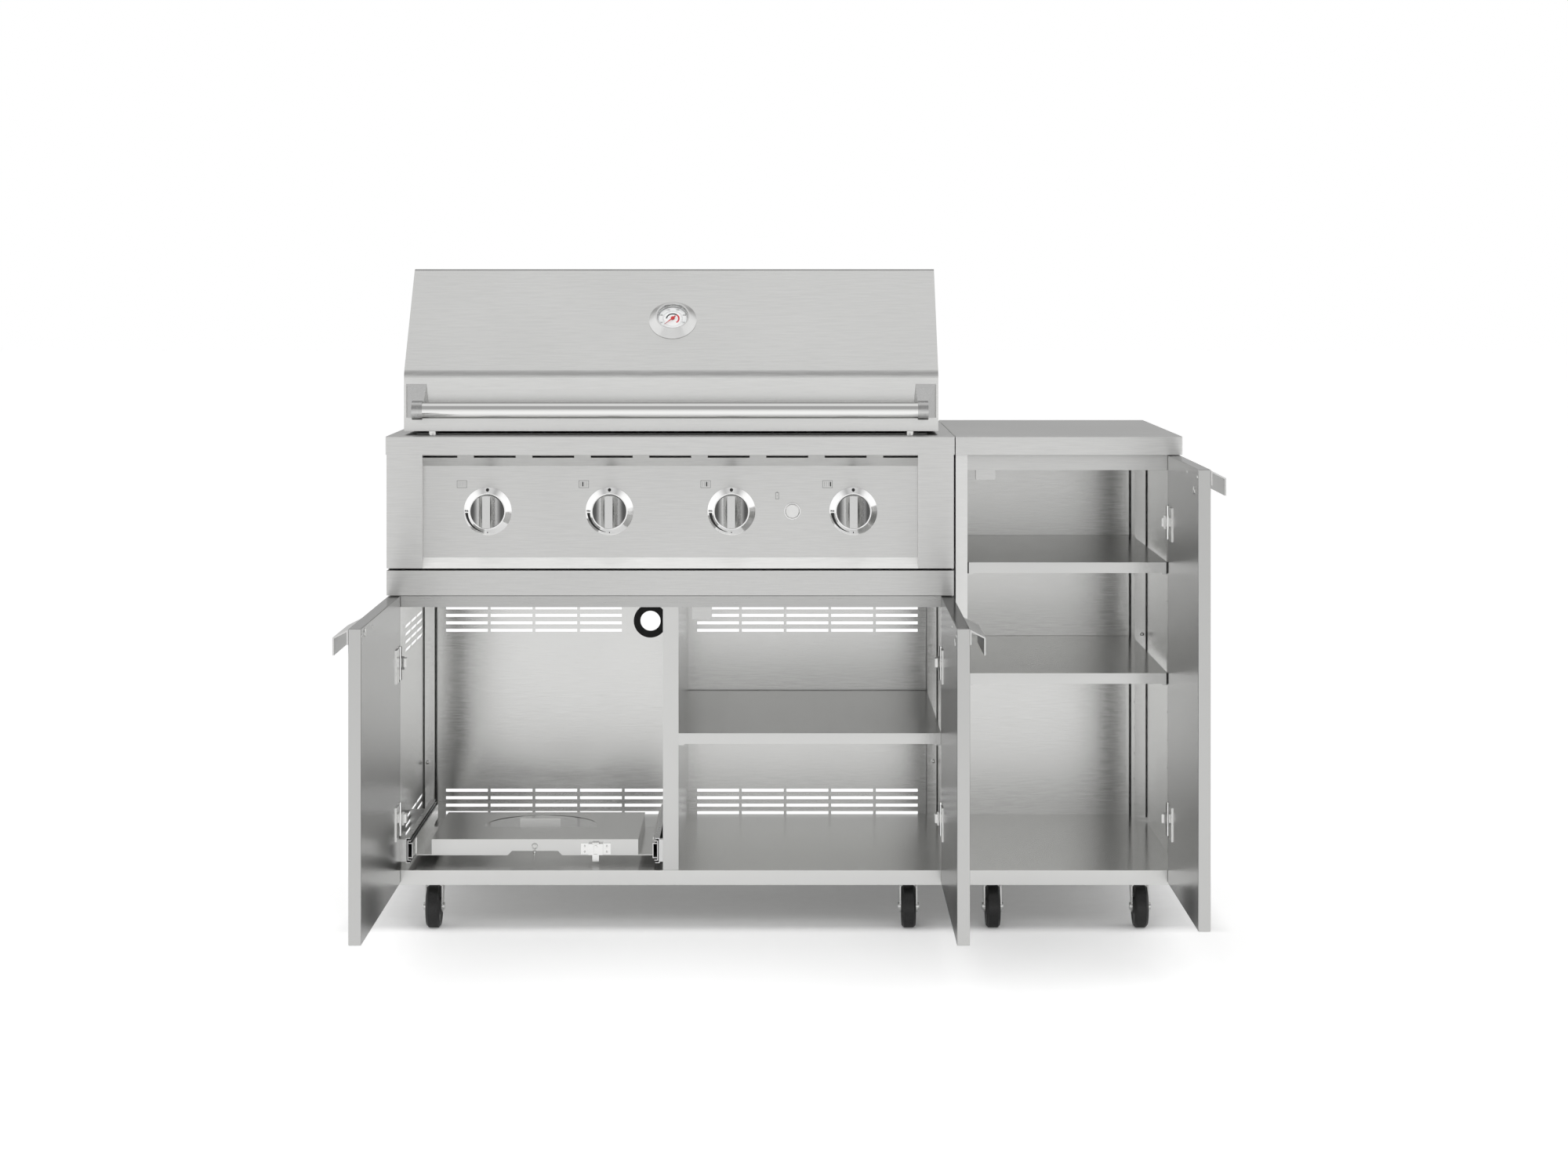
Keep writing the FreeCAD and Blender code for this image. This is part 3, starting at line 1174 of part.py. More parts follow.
def hood_handle_brackets():
    """Cast brackets: a collar at each end of the tube on an arm that widens towards the hood."""
    made = []
    neck_y = HANDLE_Y + HANDLE_R + BRACKET_NECK_GAP
    for x_out, inward in ((HANDLE_X0, 1), (HANDLE_X1, -1)):
        x_in = x_out + inward * COLLAR_LENGTH
        collar = rod((x_out, HANDLE_Y, HANDLE_Z), (x_in, HANDLE_Y, HANDLE_Z), COLLAR_R)
        low = HANDLE_Z - BRACKET_FOOT_DROP
        high = HANDLE_Z + BRACKET_FOOT_RISE
        foot_x = x_out - inward * BRACKET_FOOT_OUT
        foot = [
            (foot_x, low),
            (x_in + inward * BRACKET_FOOT_IN, low),
            (x_in + inward * BRACKET_TOP_IN, high),
            (foot_x, high),
        ]
        neck_low = HANDLE_Z - BRACKET_NECK_HALF
        neck_high = HANDLE_Z + BRACKET_NECK_HALF
        neck = [(x_out, neck_low), (x_in, neck_low), (x_in, neck_high), (x_out, neck_high)]
        wires = []
        for outline, y in ((foot, HOOD_SETBACK), (neck, neck_y), (neck, HANDLE_Y)):
            corners = [V(x, y, z) for x, z in outline]
            wires.append(Part.makePolygon(corners + corners[:1]))
        made.append(joined([collar, Part.makeLoft(wires, True, True)]))
    return group(made)


def thermometer_case():
    """Polished cup with a conical rim, and the probe that goes through the hood."""
    bore = SPINDLE_R + RUN_GAP
    floor = DIAL_FLOOR - SPINDLE_DEPTH - SHEET
    profile = [
        (0, -PROBE_LENGTH),
        (PROBE_R, -PROBE_LENGTH),
        (PROBE_R, 0),
        (DIAL_BEZEL_R, 0),
        (DIAL_BEZEL_R, SHEET),
        (DIAL_FRONT_R, DIAL_HEIGHT),
        (DIAL_LENS_R, DIAL_HEIGHT),
        (DIAL_LENS_R, DIAL_LENS_SEAT),
        (DIAL_R, DIAL_LENS_SEAT),
        (DIAL_R, DIAL_FLOOR),
        (bore, DIAL_FLOOR),
        (bore, floor),
        (0, floor),
    ]
    return revolved(profile, tuple(DIAL_CENTRE), tuple(DIAL_NORMAL))


def thermometer_lens():
    """Glass disc on the cup's inner step."""
    radius = DIAL_LENS_R - DIAL_LENS_GAP
    low = DIAL_LENS_SEAT
    high = DIAL_LENS_SEAT + DIAL_LENS_THICK
    profile = [(0, low), (radius, low), (radius, high), (0, high)]
    return revolved(profile, tuple(DIAL_CENTRE), tuple(DIAL_NORMAL))


def thermometer_pointer():
    """Tapered needle with its hub and spindle, pointing to the low end of the scale."""
    low = DIAL_FLOOR + POINTER_LIFT
    half = POINTER_WIDTH / 2
    outline = [(-half, -POINTER_TAIL, low), (half, -POINTER_TAIL, low), (0, POINTER_LENGTH, low)]
    needle = prism(outline, (0, 0, POINTER_THICK))
    hub = rod((0, 0, low - POINTER_THICK), (0, 0, low + POINTER_THICK), POINTER_HUB_R)
    spindle = rod((0, 0, DIAL_FLOOR - SPINDLE_DEPTH), (0, 0, low), SPINDLE_R)
    pointer = joined([needle, hub, spindle])
    pointer.rotate(V(0, 0, 0), V(0, 0, 1), POINTER_REST_ANGLE - 90)
    across = DIAL_UP.cross(DIAL_NORMAL)
    turn = FreeCAD.Rotation(across, DIAL_UP, DIAL_NORMAL, "ZXY")
    pointer.Placement = FreeCAD.Placement(DIAL_CENTRE, turn).multiply(pointer.Placement)
    return pointer


# Doors. A place on a door is given by u, from its hinge edge, and v, from its inner face outwards.

def door_xy(door, u, v):
    """X and Y of a place on an open door."""
    face, hand, length, top = DOORS[door]
    return face + hand * (DOOR_THICK - v), HINGE_EDGE_Y - u


def door_slab(door, us, vs, zs):
    """Box on an open door."""
    xa, ya = door_xy(door, us[0], vs[0])
    xb, yb = door_xy(door, us[1], vs[1])
    return slab(xa, xb, ya, yb, zs[0], zs[1])


def hinge_heights(door):
    """Z of the two hinges."""
    top = DOORS[door][3]
    return DOOR_BOTTOM + HINGE_FROM_BOTTOM, top - HINGE_FROM_TOP


def door_shell(door):
    """Hollow door with pockets for the hinges in its inner face and drain holes in its lower edge."""
    face, hand, length, top = DOORS[door]
    skin = DOOR_SKIN
    shell = door_slab(door, (0, length), (0, DOOR_THICK), (DOOR_BOTTOM, top))
    shell = shell.makeFillet(DOOR_EDGE_R, shell.Edges)
    inner_zs = (DOOR_BOTTOM + skin, top - skin)
    hollow = door_slab(door, (skin, length - skin), (skin, DOOR_THICK - skin), inner_zs)
    half = HINGE_POCKET_HEIGHT / 2
    pockets = []
    walls = []
    for z in hinge_heights(door):
        deep = HINGE_POCKET_LENGTH
        wide = HINGE_POCKET_DEPTH
        wall_zs = (z - half - skin, z + half + skin)
        walls.append(door_slab(door, (0, deep + skin), (0, wide + skin), wall_zs))
        pockets.append(door_slab(door, (0, deep), (0, wide), (z - half, z + half)))
    drains = []
    for u in (DRAIN_INSET, length - DRAIN_INSET):
        x, y = door_xy(door, u, DOOR_THICK / 2)
        drains.append(rod((x, y, DOOR_BOTTOM), (x, y, DOOR_BOTTOM + 2 * skin), DRAIN_R))
    return shell.cut([hollow.cut(walls)] + pockets + drains)


def door_pull(door):
    """Strip bent into a hook along the top of the door's outer face, flush with its free edge."""
    face, hand, length, top = DOORS[door]
    slope = PULL_DROP / PULL_REACH
    fall = PULL_SHEET * math.hypot(1, slope)
    inner = PULL_REACH - PULL_SHEET
    profile = [
        (0, 0),
        (PULL_REACH, -PULL_DROP),
        (PULL_REACH, -PULL_DROP - PULL_LIP),
        (inner, -PULL_DROP - PULL_LIP),
        (inner, -fall - slope * inner),
        (PULL_SHEET, -fall - slope * PULL_SHEET),
        (PULL_SHEET, -PULL_FLANGE),
        (0, -PULL_FLANGE),
    ]
    y = HINGE_EDGE_Y - length
    return prism([(face - hand * out, y, top - DOOR_EDGE_R + z) for out, z in profile], (0, PULL_LENGTH, 0))


def hinge_leaf(door, z):
    """Leaf bent into the pocket and over the inner face, with two ears and the pin between them."""
    half = HINGE_LEAF_HEIGHT / 2
    thick = HINGE_LEAF_THICK
    end = HINGE_POCKET_LENGTH
    floor_v = (HINGE_POCKET_DEPTH - thick, HINGE_POCKET_DEPTH)
    centre = DOOR_THICK / 2
    zs = (z - half, z + half)
    shapes = [
        door_slab(door, (HINGE_LEAF_START, end), floor_v, zs),
        door_slab(door, (end - thick, end), (-thick, HINGE_POCKET_DEPTH), zs),
        door_slab(door, (end - thick, end + HINGE_LEAF_REACH), (-thick, 0), zs),
    ]
    ear_us = (centre - HINGE_EAR_HALF, centre + HINGE_EAR_HALF)
    ear_vs = (centre - HINGE_EAR_HALF, HINGE_POCKET_DEPTH)
    for low in (z - half, z + half - HINGE_EAR_THICK):
        shapes.append(door_slab(door, ear_us, ear_vs, (low, low + HINGE_EAR_THICK)))
    x, y = door_xy(door, centre, centre)
    shapes.append(rod((x, y, z - half), (x, y, z + half), HINGE_PIN_R))
    return joined(shapes)


def door_hinges(door):
    """Both hinge leaves of a door."""
    return group([hinge_leaf(door, z) for z in hinge_heights(door)])


def hinge_arm(door, z):
    """Block round the post's edge, a barrel before it, and an arm to the knuckle in the door's pocket."""
    face, hand, length, top = DOORS[door]
    lip_x = face - hand * DOOR_EDGE_INSET + hand * POST_WIDTH
    x, y = door_xy(door, DOOR_THICK / 2, DOOR_THICK / 2)
    half = HINGE_KNUCKLE_HEIGHT / 2
    knuckle = rod((x, y, z - half), (x, y, z + half), HINGE_KNUCKLE_R)
    bore = rod((x, y, z - half), (x, y, z + half), HINGE_PIN_R + RUN_GAP)
    block_half = HINGE_BLOCK_HEIGHT / 2
    block_y = CAB_FRONT - HINGE_BLOCK_GAP
    block = slab(lip_x, lip_x + hand * HINGE_BLOCK_WIDTH, block_y, CAB_FRONT + POST_LIP,
                 z - block_half, z + block_half)
    plate_x = lip_x - hand * HINGE_BLOCK_OVERLAP
    plate = slab(plate_x, lip_x, block_y, CAB_FRONT, z - block_half, z + block_half)
    barrel_y = CAB_FRONT - HINGE_BARREL_GAP - HINGE_BARREL_R
    barrel_half = HINGE_BARREL_HEIGHT / 2
    barrel = rod((lip_x, barrel_y, z - barrel_half), (lip_x, barrel_y, z + barrel_half), HINGE_BARREL_R)
    side = HINGE_ARM_THICK / math.sqrt(8)
    run = HINGE_ARM_RUN
    low = z - HINGE_ARM_HEIGHT / 2
    outline = [
        (x - hand * side, y + side, low),
        (x + hand * side, y - side, low),
        (x + hand * (run + side), y + run - side, low),
        (x + hand * (run - side), y + run + side, low),
    ]
    arm = prism(outline, (0, 0, HINGE_ARM_HEIGHT))
    return joined([knuckle, arm, block, plate, barrel]).cut(bore)


def hinge_arms():
    """All fixed hinge halves."""
    return group([hinge_arm(door, z) for door in DOORS for z in hinge_heights(door)])


# Gas bottle tray

def channel(x, inward, offset, width, half_height, open_in, y0):
    """One rail of a slide: web with two flanges. x is the slide's outer face."""
    start = x + inward * offset
    end = start + inward * width
    outer = slab(start, end, y0, y0 + SLIDE_LENGTH, SLIDE_Z - half_height, SLIDE_Z + half_height)
    inner_half = half_height - SHEET
    if open_in:
        hollow = (start + inward * SHEET, end)
    else:
        hollow = (start, end - inward * SHEET)
    space = slab(hollow[0], hollow[1], y0, y0 + SLIDE_LENGTH, SLIDE_Z - inner_half, SLIDE_Z + inner_half)
    return outer.cut(space)


def slide_sides():
    """Outer face and inward direction of the left and right slide."""
    return ((SLIDE_LEFT_X, 1), (SLIDE_RIGHT_X, -1))


def tray_rails_outer():
    """Fixed rails on spacers: the left ones on the post's lip and the wall, the right on the divider."""
    made = []
    supports = ((CAB_X0 + POST_WIDTH, CAB_X0 + SHEET), (DIVIDER_X0, DIVIDER_X0))
    for (x, inward), (front_x, rear_x) in zip(slide_sides(), supports):
        shapes = [channel(x, inward, 0, SLIDE_FLANGE, SLIDE_HEIGHT / 2, True, SLIDE_Y0)]
        for support, y in ((front_x, SLIDE_Y0), (rear_x, SPACER_REAR)):
            half = SPACER_HEIGHT / 2
            shapes.append(slab(support, x, y, y + SPACER_LENGTH, SLIDE_Z - half, SLIDE_Z + half))
        made.append(joined(shapes))
    return group(made)


def middle_half():
    """Half height of the middle rails."""
    return SLIDE_HEIGHT / 2 - SHEET - SLIDE_BALL_GAP


def tray_rails_middle():
    """Rails that follow the tray at half its travel."""
    made = []
    for x, inward in slide_sides():
        made.append(channel(x, inward, SLIDE_BALL_GAP, SLIDE_FLANGE - SHEET, middle_half(), True, SLIDE_Y0))
    return group(made)


def tray_rails_inner():
    """Rails on the tray's upturned sides."""
    half = middle_half() - SHEET - SLIDE_BALL_GAP
    offset = SLIDE_BALL_GAP + SHEET + SLIP
    made = []
    for x, inward in slide_sides():
        made.append(channel(x, inward, offset, SLIDE_THICK - offset, half, False, SLIDE_Y0))
    return made


def tank_tray():
    """Hat-shaped tray with upturned sides on the rails, a half-round bottle hole and a tab at its chord."""
    left = SLIDE_LEFT_X + SLIDE_THICK
    right = SLIDE_RIGHT_X - SLIDE_THICK
    box_l = left + TRAY_BOX_INSET
    box_r = right - TRAY_BOX_INSET
    low = TRAY_BOTTOM_Z
    y0 = TRAY_FRONT
    y1 = TRAY_FRONT + TRAY_DEPTH
    shapes = [
        slab(left, left + SHEET, y0, y1, low, low + TRAY_SIDE_HEIGHT),
        slab(left, box_l + SHEET, y0, y1, low, low + SHEET),
        slab(box_l, box_l + SHEET, y0, y1, low, TRAY_TOP_Z),
        slab(box_l, box_r, y0, y1, TRAY_TOP_Z - SHEET, TRAY_TOP_Z),
        slab(box_r - SHEET, box_r, y0, y1, low, TRAY_TOP_Z),
        slab(box_r - SHEET, right, y0, y1, low, low + SHEET),
        slab(right - SHEET, right, y0, y1, low, low + TRAY_SIDE_HEIGHT),
    ]
    front = slab(box_l, box_r, y0, y0 + SHEET, low, TRAY_TOP_Z)
    half = TRAY_NOTCH_WIDTH / 2
    rise = TRAY_NOTCH_HEIGHT
    notch = [
        (TRAY_CX - half, y0, low),
        (TRAY_CX + half, y0, low),
        (TRAY_CX + half - rise, y0, low + rise),
        (TRAY_CX - half + rise, y0, low + rise),
    ]
    shapes.append(front.cut(prism(notch, (0, SHEET, 0))))
    chord_y = y0 + TRAY_HOLE_START
    a = V(TRAY_CX - TRAY_HOLE_WIDTH / 2, chord_y, TRAY_TOP_Z - SHEET)
    b = V(TRAY_CX + TRAY_HOLE_WIDTH / 2, chord_y, TRAY_TOP_Z - SHEET)
    far = V(TRAY_CX, chord_y + TRAY_HOLE_RISE, TRAY_TOP_Z - SHEET)
    rim = Part.Wire([Part.LineSegment(a, b).toShape(), Part.Arc(b, far, a).toShape()])
    hole = Part.Face(rim).extrude(V(0, 0, SHEET))
    tab_half = TRAY_TAB_WIDTH / 2
    tab = slab(TRAY_CX - tab_half, TRAY_CX + tab_half, chord_y - SHEET, chord_y,
               TRAY_TOP_Z - SHEET, TRAY_TOP_Z + TRAY_TAB_HEIGHT)
    return joined([joined(shapes).cut(hole), tab])


def bolt_span():
    """Front and back of the latch bolt."""
    y1 = TRAY_FRONT - SHEET - SLIP
    return y1 - LATCH_BOLT_DEPTH, y1


def latch_span():
    """Lowest and highest Z of the latch's case."""
    return LATCH_CASE_Z, LATCH_CASE_Z + LATCH_CASE_HEIGHT


def tray_latch_case():
    """Latch on the tray's front: base plate, and a guide round the bolt with a slot for its stud."""
    low, high = latch_span()
    back = TRAY_FRONT - SHEET
    front = TRAY_FRONT - LATCH_CASE_DEPTH
    half = LATCH_PLATE_WIDTH / 2
    plate = slab(LATCH_X - half, LATCH_X + half, back, TRAY_FRONT, low, high)
    half = LATCH_CASE_WIDTH / 2
    case = slab(LATCH_X - half, LATCH_X + half, front, back, low, high)
    y0, y1 = bolt_span()
    half = LATCH_BOLT_WIDTH / 2 + SLIP
    way = slab(LATCH_X - half, LATCH_X + half, y0 - SLIP, y1 + SLIP, low, high)
    half = LATCH_STUD_R + SLIP
    slot_top = high - LATCH_STUD_DROP + half
    slot = slab(LATCH_X - half, LATCH_X + half, front, y0, slot_top - 2 * half - LATCH_TRAVEL, slot_top)
    return joined([plate, case.cut([way, slot])])


def tray_latch_bolt():
    """Flat bolt with a stud, which is pushed down into the slot in the floor."""
    y0, y1 = bolt_span()
    high = latch_span()[1]
    half = LATCH_BOLT_WIDTH / 2
    bolt = slab(LATCH_X - half, LATCH_X + half, y0, y1, LATCH_BOLT_TIP_Z, high + LATCH_BOLT_PROUD)
    stud_z = high - LATCH_STUD_DROP
    stud_front = TRAY_FRONT - LATCH_CASE_DEPTH - LATCH_BOLT_PROUD
    stud = rod((LATCH_X, y0, stud_z), (LATCH_X, stud_front, stud_z), LATCH_STUD_R)
    return joined([bolt, stud])


# Casters

def fork_legs(x, swivel_y, trail):
    """Two fork plates down to the axle, with the axle between them. trail runs towards the front."""
    axle_y = swivel_y - trail
    inner = WHEEL_WIDTH / 2 + WHEEL_GAP
    outer = inner + FORK_THICK
    crown_z = PLATE_Z - SWIVEL_GAP - FORK_CROWN_THICK
    shapes = []
    for side in (-1, 1):
        xa = x + side * inner
        outline = [
            (xa, swivel_y + FORK_TOP_REAR, crown_z + FORK_CROWN_THICK),
            (xa, swivel_y - FORK_TOP_FRONT, crown_z + FORK_CROWN_THICK),
            (xa, axle_y - FORK_END_R, AXLE_Z),
            (xa, axle_y + FORK_END_R, AXLE_Z),
        ]
        shapes.append(prism(outline, (side * FORK_THICK, 0, 0)))
        shapes.append(rod((xa, axle_y, AXLE_Z), (x + side * outer, axle_y, AXLE_Z), FORK_END_R))
        head_x = x + side * outer
        shapes.append(rod((head_x, axle_y, AXLE_Z), (head_x + side * AXLE_HEAD, axle_y, AXLE_Z), AXLE_HEAD_R))
    shapes.append(rod((x - outer, axle_y, AXLE_Z), (x + outer, axle_y, AXLE_Z), AXLE_R))
    return shapes


def mounting_plate(x, y):
    """Square plate under the base pan."""
    half = PLATE_SIZE / 2
    return slab(x - half, x + half, y - half, y + half, PLATE_Z, PLATE_Z + PLATE_THICK)


def swivel_mount(x):
    """Plate with a kingpin whose head carries the fork."""
    y = CASTER_FRONT_Y
    head_top = PLATE_Z - 2 * SWIVEL_GAP - FORK_CROWN_THICK
    pin = rod((x, y, PLATE_Z), (x, y, head_top - KINGPIN_HEAD), KINGPIN_R)
    head = rod((x, y, head_top), (x, y, head_top - KINGPIN_HEAD), KINGPIN_HEAD_R)
    return joined([mounting_plate(x, y), pin, head])


def rigid_mount(x):
    """Plate with a fork that doesn't swivel."""
    y = CASTER_REAR_Y
    bridge_half = WHEEL_WIDTH / 2 + WHEEL_GAP + FORK_THICK
    crown_z = PLATE_Z - SWIVEL_GAP - FORK_CROWN_THICK
    bridge = slab(x - bridge_half, x + bridge_half, y - FORK_TOP_REAR, y + FORK_TOP_REAR, crown_z, PLATE_Z)
    return joined([mounting_plate(x, y), bridge] + fork_legs(x, y, 0))


def caster_mounts():
    """All caster plates: kingpins at the front, rigid forks at the back."""
    xs = MAIN_CASTER_XS + SIDE_CASTER_XS
    return group([swivel_mount(x) for x in xs] + [rigid_mount(x) for x in xs])


def caster_fork(x):
    """Swivelling fork with its crown and axle."""
    y = CASTER_FRONT_Y
    z = PLATE_Z - SWIVEL_GAP
    crown = rod((x, y, z), (x, y, z - FORK_CROWN_THICK), FORK_CROWN_R)
    bore = rod((x, y, z), (x, y, z - FORK_CROWN_THICK), KINGPIN_R + RUN_GAP)
    return joined([crown] + fork_legs(x, y, FORK_TRAIL)).cut(bore)


def wheel(x, axle_y):
    """Wheel with chamfered tread and hub faces that stand a little proud."""
    half = WHEEL_WIDTH / 2
    hub = half + WHEEL_HUB_PROUD
    bore = AXLE_R + RUN_GAP
    profile = [
        (bore, -hub),
        (WHEEL_HUB_R, -hub),
        (WHEEL_HUB_R + WHEEL_CHAMFER, -half + WHEEL_CHAMFER / 2),
        (WHEEL_R - 2 * WHEEL_CHAMFER, -half + WHEEL_CHAMFER / 2),
        (WHEEL_R - WHEEL_CHAMFER, -half),
        (WHEEL_R, -half + WHEEL_CHAMFER),
        (WHEEL_R, half - WHEEL_CHAMFER),
        (WHEEL_R - WHEEL_CHAMFER, half),
        (WHEEL_R - 2 * WHEEL_CHAMFER, half - WHEEL_CHAMFER / 2),
        (WHEEL_HUB_R + WHEEL_CHAMFER, half - WHEEL_CHAMFER / 2),
        (WHEEL_HUB_R, hub),
        (bore, hub),
    ]
    return revolved(profile, (x, axle_y, AXLE_Z), (1, 0, 0))


# Every node by name

def all_parts():
    """Each node's name with its shape."""
    parts = {
        "base_pans": base_pans(),
        "side_panels": group(main_side_panels() + side_cabinet_panels()),
        "back_panels": group([main_back_panel(), side_back_panel()]),
        "main_divider": main_divider(),
        "heat_shield": heat_shield(),
        "front_rails": group(front_rails() + door_catches()),
        "shelves": group(shelves() + shelf_clips()),
        "hose_grommet": hose_grommet(),
        "side_worktop": side_worktop(),
        "grill_deck": grill_deck(),
        "grill_casing": grill_casing(),
        "control_panel": control_panel(),
        "panel_bezels": panel_bezels(),
        "gas_manifold": gas_manifold(),
        "firebox": firebox(),
        "burners": burners(),
        "heat_plates": heat_plates(),
        "cooking_grates": cooking_grates(),
        "warming_rack": warming_rack(),
        "hood_fittings": group(hood_hinge_brackets() + hood_stops()),
        "hinge_arms": hinge_arms(),
        "tray_rails_outer": tray_rails_outer(),
        "caster_mounts": caster_mounts(),
        "grease_tray": grease_tray(),
        "hood_shell": hood_shell(),
        "hood_handle_tube": hood_handle_tube(),
        "hood_handle_brackets": hood_handle_brackets(),
        "thermometer_case": thermometer_case(),
        "thermometer_lens": thermometer_lens(),
        "thermometer_pointer": thermometer_pointer(),
        "tray_rails_middle": tray_rails_middle(),
        "tank_tray": group([tank_tray()] + tray_rails_inner()),
        "tray_latch_case": tray_latch_case(),
        "tray_latch_bolt": tray_latch_bolt(),
        "igniter_button": igniter_button(),
    }
    for number, x in enumerate(KNOB_XS, 1):
        parts[f"knob_{number}"] = knob(x)
    for door in DOORS:
        parts[door] = door_shell(door)
        parts[f"{door}_pull"] = door_pull(door)
        parts[f"{door}_hinges"] = door_hinges(door)
    for number, x in enumerate(MAIN_CASTER_XS + SIDE_CASTER_XS, 1):
        parts[f"caster_fork_{number}"] = caster_fork(x)
        parts[f"front_wheel_{number}"] = wheel(x, CASTER_FRONT_Y - FORK_TRAIL)
        parts[f"rear_wheel_{number}"] = wheel(x, CASTER_REAR_Y)
    return parts


os.makedirs("parts", exist_ok=True)
for name, shape in all_parts().items():
    shape.translate(V(0, -ORIGIN_Y, 0))
    shape.exportStep(f"parts/{name}.step")
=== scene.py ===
import json
import math

import bmesh
import bpy
from mathutils import Matrix, Vector


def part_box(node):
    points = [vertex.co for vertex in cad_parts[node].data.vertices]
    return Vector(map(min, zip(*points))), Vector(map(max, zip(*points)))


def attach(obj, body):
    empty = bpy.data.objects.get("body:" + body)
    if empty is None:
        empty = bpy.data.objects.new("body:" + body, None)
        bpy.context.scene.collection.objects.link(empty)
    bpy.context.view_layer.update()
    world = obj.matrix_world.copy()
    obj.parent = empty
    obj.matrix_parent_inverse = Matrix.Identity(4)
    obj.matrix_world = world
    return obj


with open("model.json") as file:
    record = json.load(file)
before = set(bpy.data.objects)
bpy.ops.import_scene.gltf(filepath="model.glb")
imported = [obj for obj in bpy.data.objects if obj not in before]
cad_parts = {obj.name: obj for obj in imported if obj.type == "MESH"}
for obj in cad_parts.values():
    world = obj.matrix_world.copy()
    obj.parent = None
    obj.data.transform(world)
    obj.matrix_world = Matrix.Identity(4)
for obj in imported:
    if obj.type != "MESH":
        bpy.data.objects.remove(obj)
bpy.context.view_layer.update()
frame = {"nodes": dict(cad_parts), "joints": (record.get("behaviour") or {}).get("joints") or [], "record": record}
NODES = frame["nodes"]
JOINTS = {joint["name"]: joint for joint in frame["joints"]}
DOORS = ("left_door", "right_door", "side_door")

# Sizes of the added pieces, in metres
MM = 0.001
MARK_LIFT = 0.15 * MM
MARK_THICK = 0.12 * MM
PANEL_RECESS = 18 * MM
KNOB_DISC = 14 * MM
BEZEL_R = 43 * MM
BEZEL_TOP_R = 32.5 * MM
BEZEL_EDGE = 1.5 * MM
BEZEL_HEIGHT = 9 * MM
DOT_R = 3.0 * MM
MARK_RING_R = 37.6 * MM
ARC_ANGLES = (184, 259)
ARC_START_WIDTH = 5.6 * MM
ARC_END_WIDTH = 0.5 * MM
HIGH_FLAME = (2.1 * MM, 3.4 * MM)
HIGH_FLAME_STEP = 2.3 * MM
LOW_FLAME = (2.0 * MM, 3.0 * MM)
SYMBOL_SIZE = (18 * MM, 13.4 * MM)
SYMBOL_PLACE = (-46.3 * MM, 48.4 * MM)
SYMBOL_LINE = 0.7 * MM
BATTERY_SIZE = (6.5 * MM, 12 * MM)
BATTERY_PLACE = (-27.2 * MM, 27.5 * MM)
DIAL_FACE_R = 26.6 * MM
DIAL_FACE_LIFT = 5.15 * MM
DIAL_FACE_THICK = 0.1 * MM
DIAL_FACE_SINK = 0.13 * MM
DIAL_RINGS = ((18.2 * MM, 0.7 * MM), (26 * MM, 1 * MM))
DIAL_START = 205
DIAL_STEP = 46
DIAL_NUMBER_R = 22.4 * MM
DIAL_NUMBER_SIZE = 4.2 * MM
LONG_TICK = (16.6 * MM, 2.6 * MM)
SHORT_TICK = (17.0 * MM, 1.6 * MM)
TICK_HALF_ANGLE = 0.6
DIAL_ARC_R = 11.3 * MM
DIAL_ARC_WIDTHS = (2.4 * MM, 2.8 * MM)
BOLT_R = 3.6 * MM
BOLT_HEIGHT = 3.4 * MM
SCREW_R = 2.4 * MM
SCREW_HEIGHT = 1.5 * MM
PULL_SCREWS = (8 * MM, 137 * MM)
PULL_SCREW_DROP = 13 * MM
LATCH_SCREW = (1.7 * MM, 0.9 * MM)
LATCH_SCREW_PLACE = (20 * MM, 5 * MM)
LATCH_PLATE = 1.5 * MM
STRIKE_R = 7 * MM
PEG_HOLE_R = 1.9 * MM
PEG_PITCH = 50 * MM
PEG_ROWS = 10
PEG_TOP = 591 * MM
STORE_WALL = 2 * MM
CAP_WIDTH = 2.6 * MM
CAP_HEIGHT = 20 * MM
CAP_INSET = 23 * MM
CAP_LIFT = 0.4 * MM
CAP_BEVEL = 0.4 * MM
RING_R = 4.6 * MM
RING_WIRE_R = 1.0 * MM
RING_Z = 141 * MM
PIN_BALL_R = 3.2 * MM
PIN_BALL_RISE = 16 * MM
PIN_DROP = 21.5 * MM
PIN_ASIDE = 111 * MM
PIN_BEHIND = 2.2 * MM

# Bolts in millimetres: across, behind the worktops' front, and height
POST_BOLTS = ((-701.4, 550.5, 218), (294.0, 550.5, 220), (317.0, 510.5, 474.5), (699.8, 510.5, 474.5))

# Columns of peg holes in millimetres: from the wall, and behind the worktops' front
PEG_COLUMNS = ((21, 34), (25, 518.5))

# Heights of the storage shelves, and front and rear of their caps behind the worktops' front, in millimetres
SHELF_TOPS = (462, 661)
CAP_DEPTHS = (27.2, 34)

# Strikes in millimetres: from the door's hinge edge, and height
STRIKES = (("left_door", 459, 591), ("right_door", 449.5, 573), ("side_door", 348, 817))

# Camera: straight from the front, at the height of the hood's top
CAMERA_DISTANCE = 5.450
CAMERA_HEIGHT = 1.1856
CAMERA_LENS = 70.0
CAMERA_SENSOR = 36.0
CAMERA_SHIFT = -0.2025

# Floor glow near and far, stronger near the object as painted light; the share of it under the cabinet, a painted
# shadow; and the share in what metal shows from behind, a painted dimming of that reflection
FLOOR_REACH = 40.0
GLOW_NEAR = 0.36
GLOW_FAR = 0.25
GLOW_DISTANCES = (0.7, 2.7)
GLOW_UNDER_PAINTED_SHADOW = 0.2
GLOW_BEHIND = 0.25

# Tones of the room ahead, at the sides and behind, and how much dimmer it is half way up
ROOM_AHEAD = 0.96
ROOM_SIDES = 1.2
ROOM_BEHIND = 0.78
ROOM_DIMMER = 0.5

